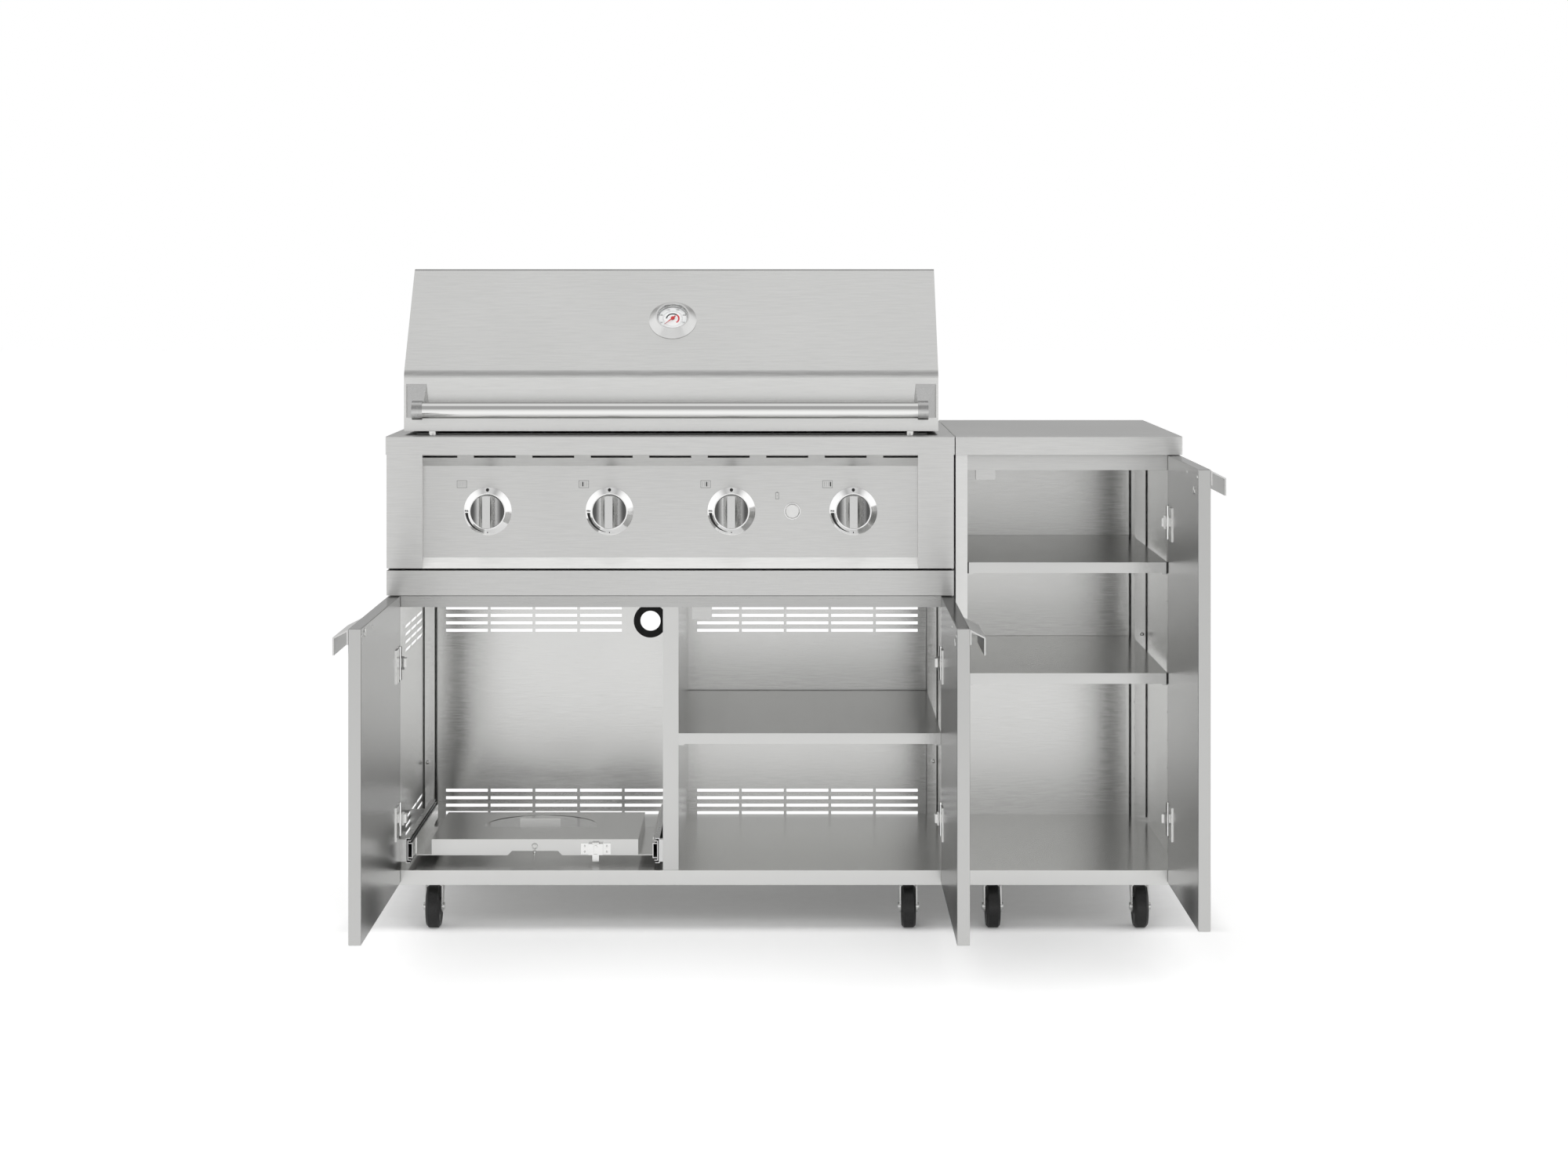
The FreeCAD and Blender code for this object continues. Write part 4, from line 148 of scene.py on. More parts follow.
# Lamp, high in front of the object
LAMP_PLACE = (0, -4.2, 3.4)
LAMP_TARGET = (0, 0.1, 0.5)
LAMP_SIZE = (4.0, 2.0)
LAMP_WATTS = 60


# Node helpers

def add(tree, kind, inputs=None, **settings):
    """New node with settings, and inputs given as values or as sockets to link."""
    node = tree.nodes.new(kind)
    for key, value in settings.items():
        setattr(node, key, value)
    for key, value in (inputs or {}).items():
        socket = node.inputs[key]
        if isinstance(value, bpy.types.NodeSocket):
            tree.links.new(value, socket)
        else:
            socket.default_value = value
    return node


def math_node(tree, operation, a, b=0.0):
    """Result of one arithmetic step."""
    return add(tree, "ShaderNodeMath", {0: a, 1: b}, operation=operation).outputs[0]


def spread(tree, value, low, high, start=0.0, end=1.0):
    """Value mapped from start..end to low..high."""
    node = add(tree, "ShaderNodeMapRange", {"Value": value, "From Min": start, "From Max": end,
                                            "To Min": low, "To Max": high})
    return node.outputs["Result"]


def new_material(name):
    """Material with its node tree and shader."""
    material = bpy.data.materials.new(name)
    material.use_nodes = True
    tree = material.node_tree
    return material, tree, tree.nodes["Principled BSDF"]


def object_place(tree):
    """Place on the piece, in metres."""
    return add(tree, "ShaderNodeTexCoord").outputs["Object"]


def facing(tree, axis):
    """How far a face of the piece looks along one of its own axes, or against it after a minus sign."""
    normal = add(tree, "ShaderNodeTexCoord").outputs["Normal"]
    level = add(tree, "ShaderNodeSeparateXYZ", {0: normal}).outputs[axis[-1]]
    return math_node(tree, "MULTIPLY", level, -1.0) if axis.startswith("-") else level


def noise(tree, vector, scale, detail=3.0, roughness=0.55):
    """Noise value along a vector."""
    node = add(tree, "ShaderNodeTexNoise", {"Vector": vector, "Scale": scale, "Detail": detail,
                                            "Roughness": roughness})
    return node.outputs["Fac"]


def stretched(tree, vector, scale):
    """Vector scaled by axis."""
    return add(tree, "ShaderNodeMapping", {"Vector": vector, "Scale": scale}).outputs["Vector"]


def grain(tree, streak, fine):
    """Brushed grain: streaks along X on front, back and top faces, and along Y on the sides."""
    place = object_place(tree)
    upright = stretched(tree, place, (streak, streak, fine))
    level = stretched(tree, place, (streak, fine, streak))
    flat = math_node(tree, "GREATER_THAN", math_node(tree, "ABSOLUTE", facing(tree, "Z")), 0.72)
    both = add(tree, "ShaderNodeMix", {"Factor": flat, "A": upright, "B": level}, data_type="VECTOR")
    vector = [s for s in both.outputs if s.type == "VECTOR"][0]
    return noise(tree, vector, 1.0, 4.0, 0.6)


def across_grain(tree):
    """Direction on a face at right angles to its grain, along which reflections are drawn out."""
    normal = add(tree, "ShaderNodeTexCoord").outputs["Normal"]
    across = add(tree, "ShaderNodeVectorMath", {0: normal, 1: (1, 0, 0)}, operation="CROSS_PRODUCT")
    sure = add(tree, "ShaderNodeVectorMath", {0: across.outputs[0], 1: (0, 0, 0.02)}, operation="ADD")
    turned_out = add(tree, "ShaderNodeVectorTransform", {0: sure.outputs[0]}, vector_type="VECTOR",
                     convert_from="OBJECT", convert_to="WORLD")
    return turned_out.outputs[0]


def scaled(tree, vector, share):
    """Vector or colour times a share."""
    node = add(tree, "ShaderNodeVectorMath", {0: vector, "Scale": share}, operation="SCALE")
    return node.outputs["Vector"]


def tinted(tree, value, dark, light):
    """Colour between a dark and a light one, by a value."""
    node = add(tree, "ShaderNodeValToRGB", {"Fac": value})
    node.color_ramp.elements[0].position = 0.25
    node.color_ramp.elements[0].color = (*dark, 1)
    node.color_ramp.elements[1].position = 0.75
    node.color_ramp.elements[1].color = (*light, 1)
    return node.outputs["Color"]


# Materials

STEEL_TINT = (1.0, 1.0, 0.985)
# Front face of the knobs' discs, by which the knob material places its painted shade
KNOB_FACE_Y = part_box("control_panel")[0].y + PANEL_RECESS - KNOB_DISC


def brushed_metal(name, level, roughness, streak=22.0, fine=400.0, bump=0.02, band=None, band_matt=0.0,
                  depth=0.1, drawn_out=0.85, rim=1.0):
    """Sheet metal with fine streaks, a slow change of tone and a little relief along the grain.

    band is (axis, start, end, share): from start to end, the further a face looks along the axis, the
    nearer its tone comes to that share, and the more of band_matt it loses of its mirror. depth is how
    strongly the streaks show, drawn_out how far reflections are drawn out across the grain, and rim how
    much a face mirrors when it is seen almost edge on.
    """
    material, tree, shader = new_material(name)
    lines = grain(tree, streak, fine)
    cloud = noise(tree, object_place(tree), 3.2, 2.0)
    tone = math_node(tree, "ADD", math_node(tree, "MULTIPLY", lines, 0.7),
                     math_node(tree, "MULTIPLY", cloud, 0.3))
    dark = [level * (1 - depth) * part for part in STEEL_TINT]
    light = [level * (1 + depth) * part for part in STEEL_TINT]
    colour = tinted(tree, tone, dark, light)
    # Painted light and shade: the tone and the mirror change with the way a face looks.
    if band:
        axis, start, end, share = band
        painted_light_share = spread(tree, facing(tree, axis), 0.0, 1.0, start, end)
        colour = scaled(tree, colour, spread(tree, painted_light_share, 1.0, share))
    tree.links.new(colour, shader.inputs["Base Color"])
    rough = spread(tree, lines, roughness - depth * 0.4, roughness + depth * 0.4, 0.25, 0.75)
    tree.links.new(rough, shader.inputs["Roughness"])
    tree.links.new(across_grain(tree), shader.inputs["Tangent"])
    shader.inputs["Anisotropic"].default_value = drawn_out
    shader.inputs["Specular Tint"].default_value = (rim, rim, rim, 1)
    if bump:
        relief = add(tree, "ShaderNodeBump", {"Strength": bump, "Distance": 0.0004, "Height": lines})
        tree.links.new(relief.outputs["Normal"], shader.inputs["Normal"])
    shader.inputs["Metallic"].default_value = 1.0
    if band_matt:
        tree.links.new(spread(tree, painted_light_share, 1.0, 1.0 - band_matt), shader.inputs["Metallic"])
    return material


def mottled(name, dark, light, gloss, scale, detail, bump):
    """Material with a fine even mottle in colour, relief and roughness. gloss is its least and most."""
    material, tree, shader = new_material(name)
    mottle = noise(tree, object_place(tree), scale, detail)
    tree.links.new(tinted(tree, mottle, dark, light), shader.inputs["Base Color"])
    tree.links.new(spread(tree, mottle, *gloss, 0.3, 0.7), shader.inputs["Roughness"])
    relief = add(tree, "ShaderNodeBump", {"Strength": bump, "Distance": 0.0003, "Height": mottle})
    tree.links.new(relief.outputs["Normal"], shader.inputs["Normal"])
    return material, shader


def plain_metal(name, dark, light, roughness, scale=60.0, bump=0.05):
    """Plated or cast metal."""
    material, shader = mottled(name, dark, light, (roughness - 0.04, roughness + 0.06), scale, 4.0, bump)
    shader.inputs["Metallic"].default_value = 1.0
    return material


def coated(name, dark, light, roughness, scale=200.0, bump=0.15):
    """Paint, rubber or plastic."""
    return mottled(name, dark, light, (roughness - 0.06, roughness + 0.06), scale, 3.0, bump)[0]


def knob_metal(name):
    """Satin metal, with painted shade in the scoops beside the grip and bright along it."""
    material, tree, shader = new_material(name)
    mottle = noise(tree, object_place(tree), 420.0, 2.0)
    depth = add(tree, "ShaderNodeSeparateXYZ", {0: object_place(tree)}).outputs["Y"]
    # Painted shade: the further back a face lies towards the knob's disc, the darker, down to 0.15 of the tone.
    painted_scoop_shade = spread(tree, depth, 1.0, 0.15, KNOB_FACE_Y - 5 * MM, KNOB_FACE_Y - 0.5 * MM)
    colour = tinted(tree, mottle, (0.58, 0.58, 0.575), (0.61, 0.61, 0.605))
    tree.links.new(scaled(tree, colour, painted_scoop_shade), shader.inputs["Base Color"])
    tree.links.new(spread(tree, mottle, 0.24, 0.28, 0.3, 0.7), shader.inputs["Roughness"])
    shader.inputs["Metallic"].default_value = 1.0
    return material


def clear_glass(name):
    """Thin clear lens with faint smears in its gloss."""
    material, tree, shader = new_material(name)
    smear = noise(tree, object_place(tree), 90.0, 2.0)
    tree.links.new(spread(tree, smear, 0.0, 0.03), shader.inputs["Roughness"])
    tree.links.new(tinted(tree, smear, (0.96, 0.97, 0.97), (1, 1, 1)), shader.inputs["Base Color"])
    shader.inputs["Transmission Weight"].default_value = 1.0
    shader.inputs["IOR"].default_value = 1.08
    return material


SLOT_MATERIALS = {
    "stainless_sheet": brushed_metal("stainless_sheet", 0.645, 0.34),
    "stainless_inside": brushed_metal("stainless_inside", 0.67, 0.22, 26.0, 480.0, 0.03, depth=0.11),
    "bright_fittings": plain_metal("bright_fittings", (0.74, 0.74, 0.73), (0.84, 0.84, 0.83), 0.2),
    "polished_trim": plain_metal("polished_trim", (0.82, 0.82, 0.82), (0.9, 0.9, 0.89), 0.12, 25.0, 0.02),
    "knob_metal": knob_metal("knob_metal"),
    "handle_steel": brushed_metal("handle_steel", 0.71, 0.1, 3.0, 500.0, 0.004, depth=0.03, drawn_out=0.2),
    "handle_castings": plain_metal("handle_castings", (0.45, 0.45, 0.445), (0.51, 0.51, 0.505), 0.22, 220.0,
                                   0.03),
    "grommet_rubber": coated("grommet_rubber", (0.012, 0.012, 0.012), (0.03, 0.03, 0.03), 0.6),
    "manifold_aluminium": plain_metal("manifold_aluminium", (0.55, 0.55, 0.56), (0.66, 0.66, 0.66), 0.42,
                                      120.0),
    "firebox_steel": brushed_metal("firebox_steel", 0.46, 0.45),
    "burner_steel": brushed_metal("burner_steel", 0.52, 0.4),
    "grate_iron": coated("grate_iron", (0.02, 0.02, 0.02), (0.05, 0.05, 0.05), 0.55, 400.0, 0.3),
    "rail_steel": plain_metal("rail_steel", (0.56, 0.56, 0.56), (0.68, 0.68, 0.67), 0.3),
    "dial_glass": clear_glass("dial_glass"),
    "pointer_red": coated("pointer_red", (0.5, 0.02, 0.02), (0.62, 0.04, 0.04), 0.35, 500.0, 0.05),
    "button_plastic": plain_metal("button_plastic", (0.66, 0.66, 0.65), (0.74, 0.74, 0.73), 0.3, 90.0),
    "wheel_plastic": coated("wheel_plastic", (0.006, 0.006, 0.006), (0.018, 0.018, 0.018), 0.45, 300.0,
                            0.2),
}
INK = coated("black_print", (0.006, 0.006, 0.006), (0.015, 0.015, 0.015), 0.5, 900.0, 0.05)
FAINT_INK = coated("grey_print", (0.13, 0.13, 0.13), (0.18, 0.18, 0.18), 0.5, 900.0, 0.05)
RED_INK = coated("red_print", (0.55, 0.02, 0.04), (0.68, 0.05, 0.07), 0.5, 900.0, 0.05)
DIAL_WHITE = coated("dial_white", (0.86, 0.86, 0.86), (0.93, 0.93, 0.93), 0.4, 700.0, 0.03)
DIAL_GREY = coated("dial_grey", (0.6, 0.6, 0.61), (0.68, 0.68, 0.69), 0.4, 700.0, 0.03)
# Near-black discs that stand in for holes: painted shade.
PAINTED_HOLE_SHADE = coated("painted_hole_shade", (0.01, 0.01, 0.01), (0.02, 0.02, 0.02), 0.8, 600.0, 0.1)
FITTING = SLOT_MATERIALS["bright_fittings"]


def door_sheet(door, axis, rim):
    """Finely brushed sheet of a door, with painted shade that darkens it from its outer over its narrow to its
    inner faces.
    """
    band = (axis, -1.0, 1.0, 0.8)
    return brushed_metal(f"{door}_sheet", 0.53, 0.2, 4.0, bump=0.0, band=band, depth=0.02, rim=rim)


def pan_sheet(name, level, roughness, painted_front_shade):
    """Sheet of a level piece in the cabinets, whose front edge takes a share of its tone as painted shade."""
    band = ("-Y", 0.3, 0.7, painted_front_shade)
    return brushed_metal(name, level, roughness, bump=0.012, depth=0.04, band=band)


NODE_MATERIALS = {
    # The panel's up-facing faces take 1.45 times the tone and lose most of their mirror: a painted highlight on
    # the lower bevel.
    "control_panel": brushed_metal("panel_sheet", 0.615, 0.34, band=("Z", 0.3, 0.5, 1.45), band_matt=0.78),
    "hood_shell": brushed_metal("hood_sheet", 0.655, 0.2, bump=0.012),
    # Doors: painted shade on their inner faces, and a right door that mirrors less when seen almost edge on, which
    # is painted shade too.
    "left_door": door_sheet("left_door", "X", 0.9),
    "right_door": door_sheet("right_door", "-X", 0.52),
    "side_door": door_sheet("side_door", "-X", 0.93),
    "front_rails": brushed_metal("rail_sheet", 0.6, 0.34),
    "thermometer_case": plain_metal("dial_trim", (0.58, 0.58, 0.575), (0.64, 0.64, 0.635), 0.14, 25.0,
                                    0.02),
    "main_divider": brushed_metal("divider_sheet", 0.58, 0.25, bump=0.014, depth=0.045),
    # Level pieces in the cabinets: a tone far lighter than the other sheet, painted light, with their front edges
    # darker, painted shade.
    "shelves": pan_sheet("shelf_sheet", 0.87, 0.22, 0.66),
    "tank_tray": pan_sheet("tray_sheet", 0.88, 0.24, 0.76),
    "base_pans": pan_sheet("base_sheet", 0.92, 0.25, 0.77),
    # Heat shield set back behind the doors and deck: a darker tone than the other sheet, painted shade.
    "heat_shield": brushed_metal("shield_sheet", 0.48, 0.3),
}


def dress_nodes():
    """Every CAD node takes a material of its own, or else that of its slot."""
    for entry in frame["record"]["subparts"]:
        mesh = NODES[entry["node"]].data
        mesh.materials.clear()
        mesh.materials.append(NODE_MATERIALS.get(entry["node"], SLOT_MATERIALS[entry["material_slot"]]))


# Building pieces

def piece(name, mesh, material, body):
    """Mesh object that rides on a body."""
    mesh.materials.append(material)
    thing = bpy.data.objects.new(name, mesh)
    bpy.context.scene.collection.objects.link(thing)
    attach(thing, body)
    return thing


def plates(name, outlines, normal, material, body):
    """Thin raised plates from outlines of points on a surface, printed or etched on it."""
    shape = bmesh.new()
    lift = Vector(normal).normalized()
    for outline in outlines:
        low = [shape.verts.new(Vector(p) + lift * (MARK_LIFT - MARK_THICK)) for p in outline]
        high = [shape.verts.new(Vector(p) + lift * MARK_LIFT) for p in outline]
        shape.faces.new(high)
        shape.faces.new(list(reversed(low)))
        count = len(outline)
        for i in range(count):
            j = (i + 1) % count
            shape.faces.new((low[i], low[j], high[j], high[i]))
    bmesh.ops.recalc_face_normals(shape, faces=shape.faces)
    mesh = bpy.data.meshes.new(name)
    shape.to_mesh(mesh)
    shape.free()
    return piece(name, mesh, material, body)


def turned(name, profiles, segments, material, body):
    """Turned parts in one mesh, each given as (base, axis, [(radius, height), ...]) from rim to middle."""
    shape = bmesh.new()
    for base, axis, profile in profiles:
        turn = Vector(axis).to_track_quat("Z", "Y").to_matrix()
        rings = []
        for radius, height in profile:
            ring = []
            for i in range(segments):
                angle = 2 * math.pi * i / segments
                local = Vector((radius * math.cos(angle), radius * math.sin(angle), height))
                ring.append(shape.verts.new(Vector(base) + turn @ local))
            rings.append(ring)
        for lower, upper in zip(rings, rings[1:]):
            for i in range(segments):
                j = (i + 1) % segments
                shape.faces.new((lower[i], lower[j], upper[j], upper[i]))
        shape.faces.new(rings[-1])
        shape.faces.new(list(reversed(rings[0])))
    mesh = bpy.data.meshes.new(name)
    shape.to_mesh(mesh)
    shape.free()
    mesh.shade_smooth()
    thing = piece(name, mesh, material, body)
    thing.modifiers.new("edges", "EDGE_SPLIT").split_angle = math.radians(35)
    return thing


def rect(x0, x1, z0, z1):
    """Corners of a rectangle, anticlockwise."""
    return [(x0, z0), (x1, z0), (x1, z1), (x0, z1)]


def frame_lines(x0, x1, z0, z1, line):
    """Four strips round a rectangle."""
    return [
        rect(x0, x1, z0, z0 + line),
        rect(x0, x1, z1 - line, z1),
        rect(x0, x0 + line, z0 + line, z1 - line),
        rect(x1 - line, x1, z0 + line, z1 - line),
    ]


# Control panel marks

PANEL_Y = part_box("control_panel")[0].y + PANEL_RECESS
FRONT = (0, -1, 0)
KNOBS = [Vector(JOINTS[f"knob_{i}_turn"]["pos_m"]) for i in range(1, 5)]


def on_bezel(centre, x, z):
    """Point of the bezel's cone in front of a place beside the knob's centre."""
    radius = math.hypot(x, z)
    rise = BEZEL_EDGE + (BEZEL_R - radius) / (BEZEL_R - BEZEL_TOP_R) * (BEZEL_HEIGHT - BEZEL_EDGE)
    return Vector((centre.x + x, PANEL_Y - rise, centre.z + z))


def polar(radius, degrees):
    """Place at an angle, anticlockwise from the right."""
    return radius * math.cos(math.radians(degrees)), radius * math.sin(math.radians(degrees))


def small_circle(radius):
    """Outline of a small round mark."""
    return [polar(radius, 30 * i) for i in range(12)]


def taper_arc(start, end, radius, first_width, last_width, steps):
    """Quads along an arc whose width changes evenly towards its end."""
    edges = []
    for i in range(steps + 1):
        share = i / steps
        half = (first_width + (last_width - first_width) * share) / 2
        degrees = start + (end - start) * share
        edges.append((polar(radius - half, degrees), polar(radius + half, degrees)))
    return [[a, b, d, c] for (a, b), (c, d) in zip(edges, edges[1:])]


def flame(x, z, width, height):
    """Outline of a small flame."""
    return [
        (x - width * 0.3, z - height / 2),
        (x + width * 0.3, z - height / 2),
        (x + width / 2, z - height * 0.1),
        (x + width * 0.15, z + height * 0.2),
        (x, z + height / 2),
        (x - width * 0.25, z + height * 0.1),
        (x - width / 2, z - height * 0.15),
    ]


def bezel_marks():
    """Off dot, flames and the narrowing arc from high to low on each bezel."""
    outlines = []
    for centre in KNOBS:
        shapes = [[(x, z + MARK_RING_R + 0.8 * MM) for x, z in small_circle(DOT_R)]]
        shapes += taper_arc(*ARC_ANGLES, MARK_RING_R, ARC_START_WIDTH, ARC_END_WIDTH, 18)
        for step in (-1, 0, 1):
            shapes.append(flame(-MARK_RING_R + step * HIGH_FLAME_STEP, 1.2 * MM, *HIGH_FLAME))
        shapes.append(flame(0, -MARK_RING_R, *LOW_FLAME))
        for shape in shapes:
            outlines.append([on_bezel(centre, x, z) for x, z in shape])
    plates("bezel_marks", outlines, FRONT, INK, "cabinet")


def on_panel(centre, outline):
    """Outline on the panel's face, given beside a centre."""
    return [Vector((centre.x + x, PANEL_Y, centre.z + z)) for x, z in outline]


def burner_symbols():
    """Small plan of the grill over each knob, with the knob's own burner marked."""
    faint = []
    strong = []
    width, height = SYMBOL_SIZE
    cx, cz = SYMBOL_PLACE
    for index, centre in enumerate(KNOBS):
        x0 = cx - width / 2
        z0 = cz - height / 2
        for line in frame_lines(x0, x0 + width, z0, z0 + height, SYMBOL_LINE):
            faint.append(on_panel(centre, line))
        for bar in range(len(KNOBS)):
            x = x0 + width * (bar + 1) / (len(KNOBS) + 1)
            marked = bar == index and index > 0
            half = (1.15 if marked else 0.2) * MM
            outline = rect(x - half, x + half, cz - height * 0.3, cz + height * 0.3)
            (strong if marked else faint).append(on_panel(centre, outline))
    plates("burner_symbols", faint, FRONT, FAINT_INK, "cabinet")
    plates("burner_symbol_bars", strong, FRONT, INK, "cabinet")


def battery_symbol():
    """Battery sign beside the igniter button."""
    low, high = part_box("igniter_button")
    centre = Vector(((low.x + high.x) / 2 + BATTERY_PLACE[0], 0, (low.z + high.z) / 2 + BATTERY_PLACE[1]))
    width, height = BATTERY_SIZE
    lines = frame_lines(-width / 2, width / 2, -height / 2, height / 2, SYMBOL_LINE)
    nub = width * 0.2
    lines.append(rect(-nub, nub, height / 2, height / 2 + 0.9 * MM))
    lines.append(rect(-0.9 * MM, 0.9 * MM, -0.2 * MM, 0.2 * MM))
    lines.append(rect(-0.2 * MM, 0.2 * MM, 0.25 * MM, 0.9 * MM))
    lines.append(rect(-0.2 * MM, 0.2 * MM, -0.9 * MM, -0.25 * MM))
    plates("battery_symbol", [on_panel(centre, line) for line in lines], FRONT, FAINT_INK, "cabinet")


# Thermometer face

DIAL_CENTRE = Vector(JOINTS["pointer_turn"]["pos_m"])
DIAL_NORMAL = -Vector(JOINTS["pointer_turn"]["axis"])
DIAL_ACROSS = Vector((1, 0, 0))
DIAL_UP = DIAL_NORMAL.cross(DIAL_ACROSS)


def on_dial(x, z):
    """Point of the dial's face."""
    return DIAL_CENTRE + DIAL_NORMAL * DIAL_FACE_LIFT + DIAL_ACROSS * x + DIAL_UP * z


def dial_numbers():
    """Generic numbers round the scale, as one mesh."""
    shape = bmesh.new()
    turn = Matrix((DIAL_ACROSS, DIAL_UP, DIAL_NORMAL)).transposed().to_4x4()
    for step in range(6):
        text = bpy.data.curves.new("number", "FONT")
        text.body = str(50 + 50 * step)
        text.size = DIAL_NUMBER_SIZE
        text.align_x = "CENTER"
        text.align_y = "CENTER"
        holder = bpy.data.objects.new("number", text)
        mesh = bpy.data.meshes.new_from_object(holder)
        x, z = polar(DIAL_NUMBER_R, DIAL_START - DIAL_STEP * step)
        mesh.transform(Matrix.Translation(on_dial(x, z) + DIAL_NORMAL * 2 * MARK_LIFT) @ turn)
        shape.from_mesh(mesh)
        bpy.data.objects.remove(holder)
        bpy.data.curves.remove(text)
        bpy.data.meshes.remove(mesh)
    mesh = bpy.data.meshes.new("dial_numbers")
    shape.to_mesh(mesh)
    shape.free()
    piece("dial_numbers", mesh, INK, "hood")


def dial_plates(name, quads, material):
    """Print on the dial's face."""
    outlines = [[on_dial(x, z) for x, z in quad] for quad in quads]
    plates(name, outlines, DIAL_NORMAL, material, "hood")


def thermometer_face():
    """White face, grey scale ring, ticks, numbers and the arc from black to red."""
    disc = [(DIAL_FACE_R, 0.0), (DIAL_FACE_R, DIAL_FACE_THICK)]
    base = DIAL_CENTRE + DIAL_NORMAL * (DIAL_FACE_LIFT - DIAL_FACE_SINK)
    turned("dial_face", [(base, DIAL_NORMAL, disc)], 64, DIAL_WHITE, "hood")
    rings = []
    for radius, width in DIAL_RINGS:
        rings += taper_arc(0, 360, radius, width, width, 64)
    dial_plates("dial_ring", rings, DIAL_GREY)
    ticks = []
    for step in range(26):
        radius, length = SHORT_TICK if step % 5 else LONG_TICK
        degrees = DIAL_START - DIAL_STEP * step / 5
        ticks += taper_arc(degrees - TICK_HALF_ANGLE, degrees + TICK_HALF_ANGLE, radius, length, length, 1)
    dial_plates("dial_ticks", ticks, FAINT_INK)
    thin, wide = DIAL_ARC_WIDTHS
    dial_plates("dial_arc_low", taper_arc(178, 52, DIAL_ARC_R, thin, wide, 24), INK)
    dial_plates("dial_arc_high", taper_arc(51, -52, DIAL_ARC_R, wide, wide, 20), RED_INK)
    dial_numbers()


# Fasteners and other small metal

def dome(radius, height):
    """Profile of a domed head with a flat collar."""
    steps = [(radius * 1.25, 0.0), (radius * 1.25, height * 0.25), (radius, height * 0.3)]
    for i in range(1, 5):
        angle = math.radians(18 * i)
        steps.append((radius * math.cos(angle), height * (0.3 + 0.7 * math.sin(angle))))
    return steps


def blocks(name, boxes, bevel, material, body):
    """Small blocks with softened edges in one mesh, each given by two corners."""
    shape = bmesh.new()
    for low, high in boxes:
        made = bmesh.ops.create_cube(shape, size=1.0)
        middle = (Vector(low) + Vector(high)) / 2
        size = Vector(high) - Vector(low)
        for vert in made["verts"]:
            vert.co = middle + Vector([c * s for c, s in zip(vert.co, size)])
    bmesh.ops.bevel(shape, geom=shape.edges[:], offset=bevel, segments=2, affect="EDGES", profile=0.5)
    mesh = bpy.data.meshes.new(name)
    shape.to_mesh(mesh)
    shape.free()
    return piece(name, mesh, material, body)


def depth_y(depth):
    """Y of a place that lies depth behind the worktops' front."""
    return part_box("grill_deck")[0].y + depth


def post_bolts():
    """Domed bolts in the rear posts, which hold the two units together and the back in place."""
    head = dome(BOLT_R, BOLT_HEIGHT)
    heads = [((x * MM, depth_y(y * MM), z * MM), FRONT, head) for x, y, z in POST_BOLTS]
    turned("post_bolts", heads, 20, FITTING, "cabinet")


def door_side(door):
    """X of an open door's inner face, and the way it looks."""
    low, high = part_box(door)
    return (high.x, 1) if door == "left_door" else (low.x, -1)


def door_screws():
    """Two screws of the pull near the top of each door's inner face."""
    for door in DOORS:
        x, hand = door_side(door)
        low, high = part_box(door)
        z = high.z - PULL_SCREW_DROP
        heads = [((x, low.y + u, z), (hand, 0, 0), dome(SCREW_R, SCREW_HEIGHT)) for u in PULL_SCREWS]
        turned(f"{door}_pull_screws", heads, 16, FITTING, door)


def door_strikes():
    """Round steel strike on each door, where its magnetic catch meets it."""
    plate = [(STRIKE_R, 0.0), (STRIKE_R, 0.9 * MM), (STRIKE_R - 0.5 * MM, 1.3 * MM), (SCREW_R, 1.3 * MM)]
    plate += [(SCREW_R, 1.0 * MM), (SCREW_R * 0.5, 1.0 * MM)]
    for door, reach, z in STRIKES:
        x, hand = door_side(door)
        base = (x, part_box(door)[1].y - reach * MM, z * MM)
        turned(f"{door}_strike", [(base, (hand, 0, 0), plate)], 24, FITTING, door)


def peg_holes():
    """Rows of near-black discs in the storage cabinet's posts, painted shade standing in for the holes for the
    shelf clips.
    """
    low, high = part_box("side_worktop")
    sides = (("peg_holes_left", low.x + STORE_WALL, 1), ("peg_holes_right", high.x - STORE_WALL, -1))
    for name, wall, hand in sides:
        outlines = []
        for width, depth in PEG_COLUMNS:
            x = wall + hand * width * MM
            y = depth_y(depth * MM)
            for row in range(PEG_ROWS):
                z = PEG_TOP - row * PEG_PITCH
                outlines.append([(x, y + a, z + b) for a, b in small_circle(PEG_HOLE_R)])
        plates(name, outlines, (hand, 0, 0), PAINTED_HOLE_SHADE, "cabinet")


def shelf_caps():
    """Black caps on the front corners of the storage cabinet's shelves."""
    low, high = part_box("side_worktop")
    front, rear = (depth_y(depth * MM) for depth in CAP_DEPTHS)
    boxes = []
    for top in SHELF_TOPS:
        for x in (low.x + CAP_INSET, high.x - CAP_INSET - CAP_WIDTH):
            z = top * MM + CAP_LIFT
            boxes.append(((x, front, z - CAP_HEIGHT), (x + CAP_WIDTH, rear, z)))
    blocks("shelf_caps", boxes, CAP_BEVEL, SLOT_MATERIALS["grommet_rubber"], "cabinet")


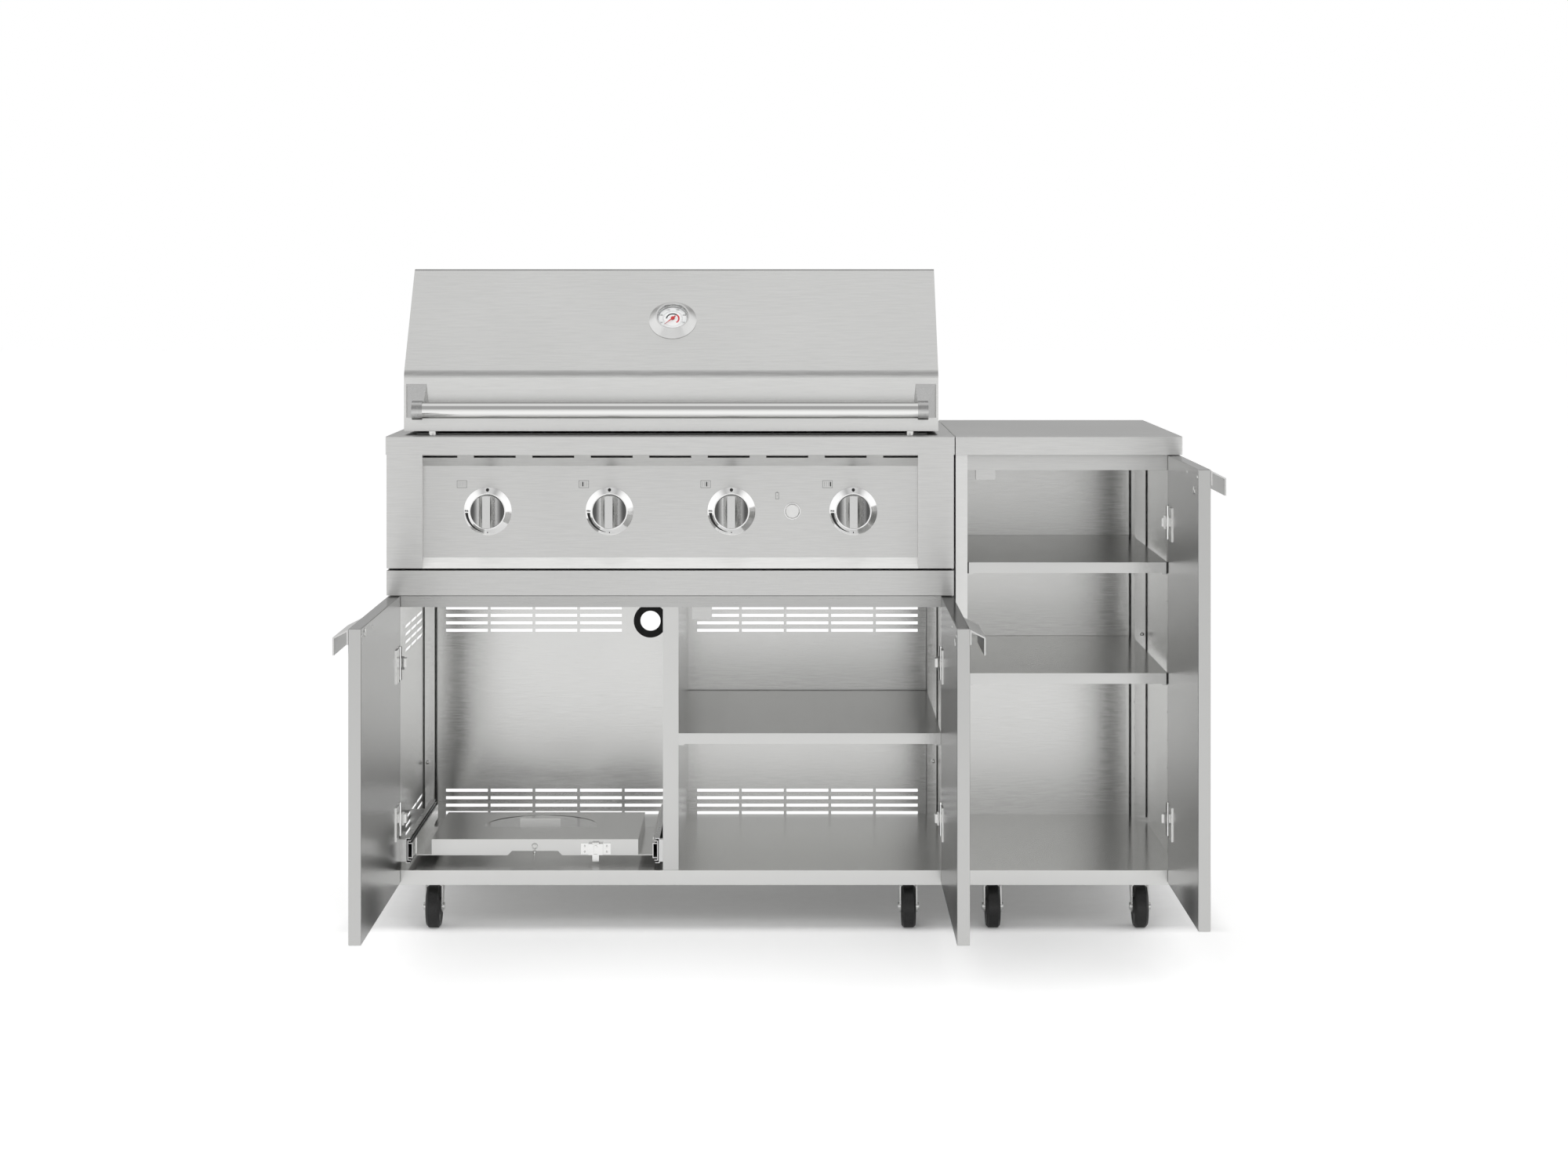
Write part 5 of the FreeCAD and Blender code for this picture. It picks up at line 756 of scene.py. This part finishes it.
def tray_pin():
    """Locking pin that hangs on a ring from the front of the bottle tray."""
    low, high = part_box("tray_latch_case")
    y = high.y - PIN_BEHIND
    x = (low.x + high.x) / 2 - PIN_ASIDE
    shape = bmesh.new()
    around = 28
    section = 8
    rings = []
    for i in range(around):
        out, up = polar(1.0, 360 * i / around)
        ring = []
        for j in range(section):
            a, b = polar(RING_WIRE_R, 360 * j / section)
            ring.append(shape.verts.new((x + out * (RING_R + a), y + b, RING_Z + up * (RING_R + a))))
        rings.append(ring)
    for i in range(around):
        for j in range(section):
            k = (j + 1) % section
            shape.faces.new((rings[i - 1][j], rings[i - 1][k], rings[i][k], rings[i][j]))
    bmesh.ops.recalc_face_normals(shape, faces=shape.faces)
    mesh = bpy.data.meshes.new("tray_pin_ring")
    shape.to_mesh(mesh)
    shape.free()
    mesh.shade_smooth()
    piece("tray_pin_ring", mesh, FITTING, "bottle_tray")
    profile = [(0.5 * MM, 0.0), (1.1 * MM, 1 * MM), (1.1 * MM, 13 * MM)]
    for step in range(-4, 5):
        angle = math.radians(20 * step)
        profile.append((PIN_BALL_R * math.cos(angle), PIN_BALL_RISE + PIN_BALL_R * math.sin(angle)))
    profile += [(0.8 * MM, 20 * MM), (0.8 * MM, 22.5 * MM)]
    base = (x, y, RING_Z - RING_R - PIN_DROP)
    turned("tray_pin", [(base, (0, 0, 1), profile)], 16, FITTING, "bottle_tray")


def latch_screws():
    """Four small screws in the latch's base plate."""
    low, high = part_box("tray_latch_case")
    middle = (low + high) / 2
    across, up = LATCH_SCREW_PLACE
    heads = []
    for side in (-1, 1):
        for level in (-1, 1):
            base = (middle.x + side * across, high.y - LATCH_PLATE, middle.z + level * up)
            heads.append((base, FRONT, dome(*LATCH_SCREW)))
    turned("latch_screws", heads, 14, FITTING, "bottle_tray")


def main_pieces():
    """Everything that the scene adds to the CAD nodes."""
    bezel_marks()
    burner_symbols()
    battery_symbol()
    thermometer_face()
    post_bolts()
    door_screws()
    door_strikes()
    peg_holes()
    shelf_caps()
    tray_pin()
    latch_screws()


# Studio

def white_floor():
    """Large pale floor that keeps the soft shadow.

    A faint glow makes it white for the camera. Under the cabinet the glow drops to a fifth, a painted shadow, and
    near the object it is stronger, painted light that lifts the shade there. Metal and glass show the glow too,
    and less of it behind, a painted dimming of what they reflect.
    """
    mesh = bpy.data.meshes.new("floor")
    corners = [(x, z, 0) for x, z in rect(-FLOOR_REACH, FLOOR_REACH, -FLOOR_REACH, FLOOR_REACH)]
    mesh.from_pydata(corners, [], [(0, 1, 2, 3)])
    material, tree, shader = new_material("floor_white")
    speck = noise(tree, object_place(tree), 30.0, 2.0)
    shader.inputs["Roughness"].default_value = 0.8
    shader.inputs["Specular IOR Level"].default_value = 0.0
    shader.inputs["Emission Color"].default_value = (1, 1, 1, 1)
    tree.links.new(tinted(tree, speck, (0.9, 0.9, 0.9), (0.93, 0.93, 0.93)), shader.inputs["Base Color"])
    path = add(tree, "ShaderNodeLightPath")
    spot = add(tree, "ShaderNodeSeparateXYZ", {0: object_place(tree)})
    mirrored = math_node(tree, "MAXIMUM", path.outputs["Is Glossy Ray"],
                         path.outputs["Is Transmission Ray"])
    # Painted reflection: metal and glass see only a quarter of the glow behind the object.
    behind = spread(tree, spot.outputs["Y"], 1.0, GLOW_BEHIND, -0.7, 0.0)
    mirrored = math_node(tree, "MULTIPLY", mirrored, behind)
    seen = math_node(tree, "MAXIMUM", path.outputs["Is Camera Ray"], mirrored)
    low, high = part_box("base_pans")
    # Painted shadow: under the cabinet the glow drops to a fifth.
    clear = spread(tree, spot.outputs["Y"], 1.0, GLOW_UNDER_PAINTED_SHADOW, low.y - 0.02, low.y + 0.04)
    for axis, sign, edge in (("Y", 1, high.y), ("X", 1, high.x), ("X", -1, -low.x)):
        past = math_node(tree, "MULTIPLY", spot.outputs[axis], sign)
        clear = math_node(tree, "MAXIMUM", clear, spread(tree, past, 0.0, 1.0, edge, edge + 0.1))
    away = add(tree, "ShaderNodeVectorMath", {0: object_place(tree)}, operation="LENGTH").outputs["Value"]
    # Painted light: the glow is stronger near the object, lifting its shade there.
    glow = math_node(tree, "MULTIPLY", clear, spread(tree, away, GLOW_NEAR, GLOW_FAR, *GLOW_DISTANCES))
    tree.links.new(math_node(tree, "MULTIPLY", seen, glow), shader.inputs["Emission Strength"])
    mesh.materials.append(material)
    floor = bpy.data.objects.new("floor", mesh)
    bpy.context.scene.collection.objects.link(floor)


def studio_world():
    """Room that is bright overhead and near the floor and dimmer between. Camera and glass see it white."""
    world = bpy.data.worlds.new("studio")
    bpy.context.scene.world = world
    world.use_nodes = True
    tree = world.node_tree
    background = tree.nodes["Background"]
    background.inputs["Color"].default_value = (1, 1, 1, 1)
    path = add(tree, "ShaderNodeLightPath")
    around = add(tree, "ShaderNodeTexCoord").outputs["Generated"]
    direction = add(tree, "ShaderNodeSeparateXYZ", {0: around})
    aside = math_node(tree, "ABSOLUTE", direction.outputs["X"])
    sides = spread(tree, aside, ROOM_AHEAD, ROOM_SIDES, 0.3, 0.8)
    rear = spread(tree, direction.outputs["Y"], 1.0, ROOM_BEHIND, 0.2, 0.8)
    low = spread(tree, direction.outputs["Z"], 0.0, 1.0, 0.14, 0.36)
    high = spread(tree, direction.outputs["Z"], 1.0, 0.0, 0.86, 0.97)
    middle = spread(tree, aside, ROOM_DIMMER, 0.0, 0.3, 0.6)
    dimmed = math_node(tree, "MULTIPLY", math_node(tree, "MULTIPLY", low, high), middle)
    strip = math_node(tree, "SUBTRACT", 1.0, dimmed)
    tone = math_node(tree, "MULTIPLY", math_node(tree, "MULTIPLY", sides, rear), strip)
    seen = math_node(tree, "MAXIMUM", path.outputs["Is Camera Ray"], path.outputs["Is Transmission Ray"])
    level = add(tree, "ShaderNodeMix", {"Factor": seen, "A": tone, "B": 1.0})
    tree.links.new(level.outputs[0], background.inputs["Strength"])


def soft_light(name, place, target, size, watts):
    """Rectangular lamp that looks at a point."""
    lamp = bpy.data.lights.new(name, "AREA")
    lamp.shape = "RECTANGLE"
    lamp.size, lamp.size_y = size
    lamp.energy = watts
    thing = bpy.data.objects.new(name, lamp)
    thing.location = place
    thing.rotation_euler = (Vector(target) - Vector(place)).to_track_quat("-Z", "Y").to_euler()
    thing.visible_glossy = False
    bpy.context.scene.collection.objects.link(thing)


def camera():
    """Level camera, with the horizon high in the picture as in the photograph."""
    lens = bpy.data.cameras.new("camera")
    lens.lens = CAMERA_LENS
    lens.sensor_width = CAMERA_SENSOR
    lens.shift_y = CAMERA_SHIFT
    thing = bpy.data.objects.new("camera", lens)
    thing.location = (0, depth_y(-CAMERA_DISTANCE), CAMERA_HEIGHT)
    thing.rotation_euler = (math.radians(90), 0, 0)
    bpy.context.scene.collection.objects.link(thing)
    bpy.context.scene.camera = thing


dress_nodes()
main_pieces()
white_floor()
studio_world()
soft_light("front_softbox", LAMP_PLACE, LAMP_TARGET, LAMP_SIZE, LAMP_WATTS)
camera()
bpy.context.scene.view_settings.view_transform = "Standard"
